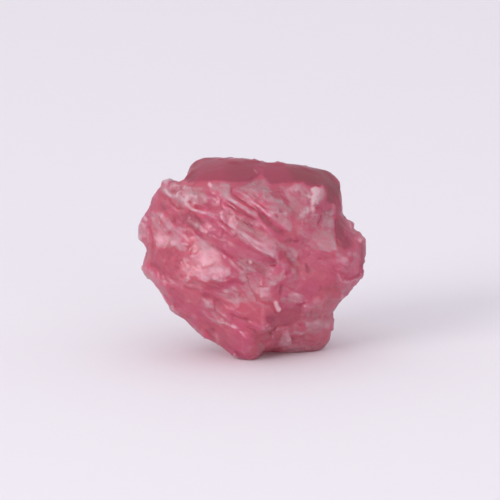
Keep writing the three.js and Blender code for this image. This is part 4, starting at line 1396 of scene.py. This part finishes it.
@dataclass(frozen=True)
class SpinelFinish:
    """Half clear pink spinel: frosted where it broke in grains, wet-looking where it broke smooth.

    A span gives the values between which one look passes into the next.
    """

    # From the deepest skin over clear skin, bluer and redder, to frosted, grey and white skin, and the palest
    # for the white spot.
    deepest_and_shade: Colour = (0.29, 0.03, 0.06)
    # The deepest and deep colours also stand for painted shade on the brow, the right rim, the steps and in
    # creases; the white and the palest also give painted highlights and glints, and painted highlights along
    # edges.
    deep: Colour = (0.415, 0.035, 0.095)
    rose: Colour = (0.63, 0.09, 0.195)
    coral: Colour = (0.64, 0.105, 0.175)
    frosted: Colour = (0.60, 0.28, 0.33)
    grey: Colour = (0.54, 0.38, 0.40)
    white: Colour = (0.92, 0.50, 0.58)
    edge: Colour = (0.90, 0.66, 0.70)
    # How much streaks, grains and specks change the frost, up and down from a middle, and all three the
    # whitening and painted highlights.
    middle: float = 0.5
    streak_span: Span = (0.38, 0.62)
    streak_share: float = 0.16
    grain_share: float = 0.38
    speck_share: float = 0.28
    white_and_highlight_share: float = 0.7
    coral_span: Span = (0.4, 0.6)
    deep_span: Span = (0.0, 0.6)
    deepest_and_shade_span: Span = (0.6, 1.4)
    frosted_span: Span = (0.0, 0.9)
    grey_span: Span = (0.9, 1.5)
    white_span: Span = (0.0, 1.0)
    edge_span: Span = (0.9, 1.6)
    crease_span: Span = (0.05, 0.9)
    crease_shade: Span = (0.0, 0.5)
    crest_span: Span = (0.25, 1.0)
    crest_light: Span = (0.0, 0.45)
    rough_span: Span = (0.1, 0.8)
    roughness: Span = (0.36, 0.62)
    bump: float = 0.6
    bump_mm: float = 0.05
    # How it bends, reflects, lets through, soaks up (in each metre) and scatters light.
    bend: float = 1.718
    shine: float = 0.3
    clear: float = 0.5
    soak: Colour = (0.9, 0.4, 0.55)
    soak_density: float = 100.0
    scatter: Colour = (1.0, 0.35, 0.45)
    scatter_mm: float = 1.5

    def make(self) -> bpy.types.Material:
        """Builds the material.

        Returns:
            The material.
        """
        material = bpy.data.materials.new("pink_spinel")
        material.use_nodes = True
        wiring = Wiring(material.node_tree)
        grain = wiring.nodes.new("ShaderNodeGroup")
        grain.node_tree = MineralGrain().make()
        lively = wiring.read(Look.LIVELY)
        fine = self.fine(wiring, grain)
        frost = wiring.maths("MULTIPLY_ADD", fine, lively, wiring.read(Look.FROST))
        frosted = wiring.eased(frost, self.frosted_span)
        height = wiring.maths("MULTIPLY", grain.outputs["Height"], lively)
        bump = {"Strength": self.bump, "Distance": self.bump_mm * MM, "Height": height}
        skin = {
            "Base Color": self.coloured(wiring, grain.outputs["Drift"], fine, frost, frosted),
            "Roughness": wiring.eased(frosted, self.rough_span, self.roughness),
            "Normal": wiring.add("ShaderNodeBump", bump).outputs["Normal"],
            "IOR": self.bend,
            "Specular IOR Level": self.shine,
            "Transmission Weight": self.clear,
            "Subsurface Weight": 1.0,
            "Subsurface Radius": self.scatter,
            "Subsurface Scale": self.scatter_mm * MM,
        }
        wiring.feed(wiring.nodes["Principled BSDF"], skin)
        soaking = wiring.add("ShaderNodeVolumeAbsorption", {"Color": self.soak, "Density": self.soak_density})
        wiring.feed(wiring.nodes["Material Output"], {"Volume": soaking.outputs["Volume"]})
        return material

    def fine(self, wiring: Wiring, grain: bpy.types.Node) -> bpy.types.NodeSocket:
        """Adds up the streaks, grains and specks.

        Args:
            wiring: Where the nodes go.
            grain: The node with the mineral grain.

        Returns:
            How much they change the skin, above and below 0.
        """
        streak = wiring.eased(grain.outputs["Streak"], self.streak_span, (-self.middle, self.middle))
        cell = wiring.maths("SUBTRACT", grain.outputs["Grain"], self.middle)
        speck = wiring.maths("SUBTRACT", grain.outputs["Speck"], self.middle)
        fine = wiring.maths("MULTIPLY", cell, self.grain_share)
        fine = wiring.maths("MULTIPLY_ADD", streak, self.streak_share, fine)
        return wiring.maths("MULTIPLY_ADD", speck, self.speck_share, fine)

    def coloured(
        self, wiring: Wiring, drift: Feed, fine: Feed, frost: Feed, frosted: Feed
    ) -> bpy.types.NodeSocket:
        """Colours the skin by what the mesh says.

        Args:
            wiring: Where the nodes go.
            drift: The slow drifts of colour.
            fine: Streaks, grains and specks.
            frost: The skin's frost.
            frosted: The same, from 0 for clear to 1 for frosted.

        Returns:
            The colour.
        """
        deep, white_and_highlight = wiring.read(Look.DEEP), wiring.read(Look.WHITE_AND_HIGHLIGHT)
        white_and_highlight = wiring.maths("MULTIPLY_ADD", fine, wiring.maths("MULTIPLY", white_and_highlight, self.white_and_highlight_share), white_and_highlight)
        steps = (
            (wiring.eased(drift, self.coral_span), self.coral),
            (wiring.eased(deep, self.deep_span), self.deep),
            # Painted shade in part: the deepest colour darkens the right of the brow and the right rim, as
            # well as the clearest skin.
            (wiring.eased(deep, self.deepest_and_shade_span), self.deepest_and_shade),
            (frosted, self.frosted),
            (wiring.eased(frost, self.grey_span), self.grey),
            # Whitening: partly whitish skin, partly painted highlights and glints.
            (wiring.eased(white_and_highlight, self.white_span), self.white),
            (wiring.eased(white_and_highlight, self.edge_span), self.edge),
            # Painted shade: creases darkened towards the deep colour.
            (wiring.eased(wiring.read(Look.HOLLOW), self.crease_span, self.crease_shade), self.deep),
            # Painted highlight: convex edges lightened towards the palest colour.
            (wiring.eased(wiring.read(Look.CREST), self.crest_span, self.crest_light), self.edge),
        )
        colour: Feed = self.rose
        for share, other in steps:
            colour = wiring.mixed(share, colour, other)
        return colour


@dataclass(frozen=True)
class PaperFinish:
    """The table's pale, matt skin."""

    colour: Colour = (0.80, 0.77, 0.81)
    roughness: float = 0.8

    def make(self) -> bpy.types.Material:
        """Builds the material.

        Returns:
            The material.
        """
        paper = bpy.data.materials.new("pale_paper")
        paper.use_nodes = True
        surface = paper.node_tree.nodes["Principled BSDF"]
        surface.inputs["Base Color"].default_value = (*self.colour, 1.0)
        surface.inputs["Roughness"].default_value = self.roughness
        return paper


@dataclass
class Studio:
    """The pale table, the soft lights and the camera."""

    # The camera sees a field this wide, and aims this far above the middle of the best face.
    field_mm: float = 12.9
    lens_mm: float = 400.0
    sensor_mm: float = 36.0
    raise_mm: float = 0.208
    # How near and how far it sees.
    sees_m: Span = (0.001, 10.0)
    # The table's flat has rings of these radii, and its rim curves up in steps.
    rings_mm: tuple[float, ...] = (11.0, 55.0, 220.0, 550.0)
    rim_mm: float = 350.0
    rim_steps: int = 16
    around: int = 96
    sky_colour: Colour = (0.90, 0.885, 0.93)
    sky_strength: float = 0.97
    left_mm: Triple = (-190.0, -190.0, 85.0)
    left_power: float = 0.54
    low_mm: Triple = (110.0, -250.0, 25.0)
    low_power: float = 0.17
    lamp_mm: float = 140.0
    lamps_aim_mm: Triple = (0.0, 0.0, 2.4)

    def build(self) -> bpy.types.Object:
        """Lays the table, hangs the lights and sets up the camera.

        Returns:
            The table.
        """
        table = self.lay_table()
        self.light_room()
        self.hang_lamp("left_lamp", self.left_mm, self.left_power)
        self.hang_lamp("low_lamp", self.low_mm, self.low_power)
        self.set_camera()
        return table

    def link(self, name: str, data: bpy.types.ID) -> bpy.types.Object:
        """Puts a new object in the scene.

        Args:
            name: Its name.
            data: Its mesh, light or camera.

        Returns:
            The object.
        """
        made = bpy.data.objects.new(name, data)
        bpy.context.scene.collection.objects.link(made)
        return made

    def lay_table(self) -> bpy.types.Object:
        """Makes a round table whose rim curves up out of sight.

        Returns:
            The table.
        """
        rings = [(radius, 0.0) for radius in self.rings_mm]
        for step in range(1, self.rim_steps + 1):
            turn = step / self.rim_steps * math.pi / 2
            out = self.rings_mm[-1] + self.rim_mm * math.sin(turn)
            rings.append((out, self.rim_mm * (1.0 - math.cos(turn))))
        points = [(0.0, 0.0, 0.0)]
        for radius, height in rings:
            for step in range(self.around):
                turn = 2.0 * math.pi * step / self.around
                points.append((radius * math.cos(turn) * MM, radius * math.sin(turn) * MM, height * MM))
        after = [(step + 1) % self.around for step in range(self.around)]
        faces = [(0, 1 + step, 1 + after[step]) for step in range(self.around)]
        for ring in range(len(rings) - 1):
            inner = 1 + ring * self.around
            outer = inner + self.around
            for step, following in enumerate(after):
                faces.append((inner + step, outer + step, outer + following, inner + following))
        mesh = bpy.data.meshes.new("pale_table")
        mesh.from_pydata(points, [], faces)
        mesh.shade_smooth()
        mesh.materials.append(PaperFinish().make())
        table = self.link("pale_table", mesh)
        return table

    def light_room(self) -> None:
        """Sets the even light of the room."""
        world = bpy.data.worlds.new("soft_room")
        bpy.context.scene.world = world
        world.use_nodes = True
        room = world.node_tree.nodes["Background"]
        room.inputs["Color"].default_value = (*self.sky_colour, 1.0)
        room.inputs["Strength"].default_value = self.sky_strength

    def hang_lamp(self, name: str, place_mm: Triple, power: float) -> None:
        """Hangs one square soft lamp that shines at the stone.

        Args:
            name: The lamp's name.
            place_mm: Where it hangs, in millimetres.
            power: Its power in watts.
        """
        data = bpy.data.lights.new(name, "AREA")
        data.size = self.lamp_mm * MM
        data.energy = power
        lamp = self.link(name, data)
        lamp.location = Vector(place_mm) * MM
        aim = Vector(self.lamps_aim_mm) * MM - lamp.location
        lamp.rotation_euler = aim.to_track_quat("-Z", "Y").to_euler()

    def set_camera(self) -> None:
        """Looks straight at the best face from a little above."""
        data = bpy.data.cameras.new("camera")
        data.lens = self.lens_mm
        data.sensor_width = self.sensor_mm
        data.clip_start, data.clip_end = self.sees_m
        camera = self.link("camera", data)
        bpy.context.scene.camera = camera
        middle = Vector(FACE_MIDDLE_MM) + self.raise_mm * Vector(FACE_AXES[1])
        back = Vector(FACE_AXES[2])
        camera.location = (middle + back * self.field_mm * self.lens_mm / self.sensor_mm) * MM
        camera.rotation_mode = "QUATERNION"
        camera.rotation_quaternion = (-back).to_track_quat("-Z", "Y")
        bpy.context.scene.view_settings.view_transform = "Standard"


def main() -> None:
    """Builds the stone and its studio."""
    logging.basicConfig(level=logging.INFO, format="%(name)s: %(message)s")
    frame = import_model()
    crystal = SpinelCrystal()
    piece = crystal.build(frame)
    crystal.dress(piece, SpinelFinish().make())
    log.info("%s: %d triangles", piece.name, len(piece.data.polygons))
    table = Studio().build()
    log.info("%s: %d faces", table.name, len(table.data.polygons))


if __name__ == "__main__":
    main()
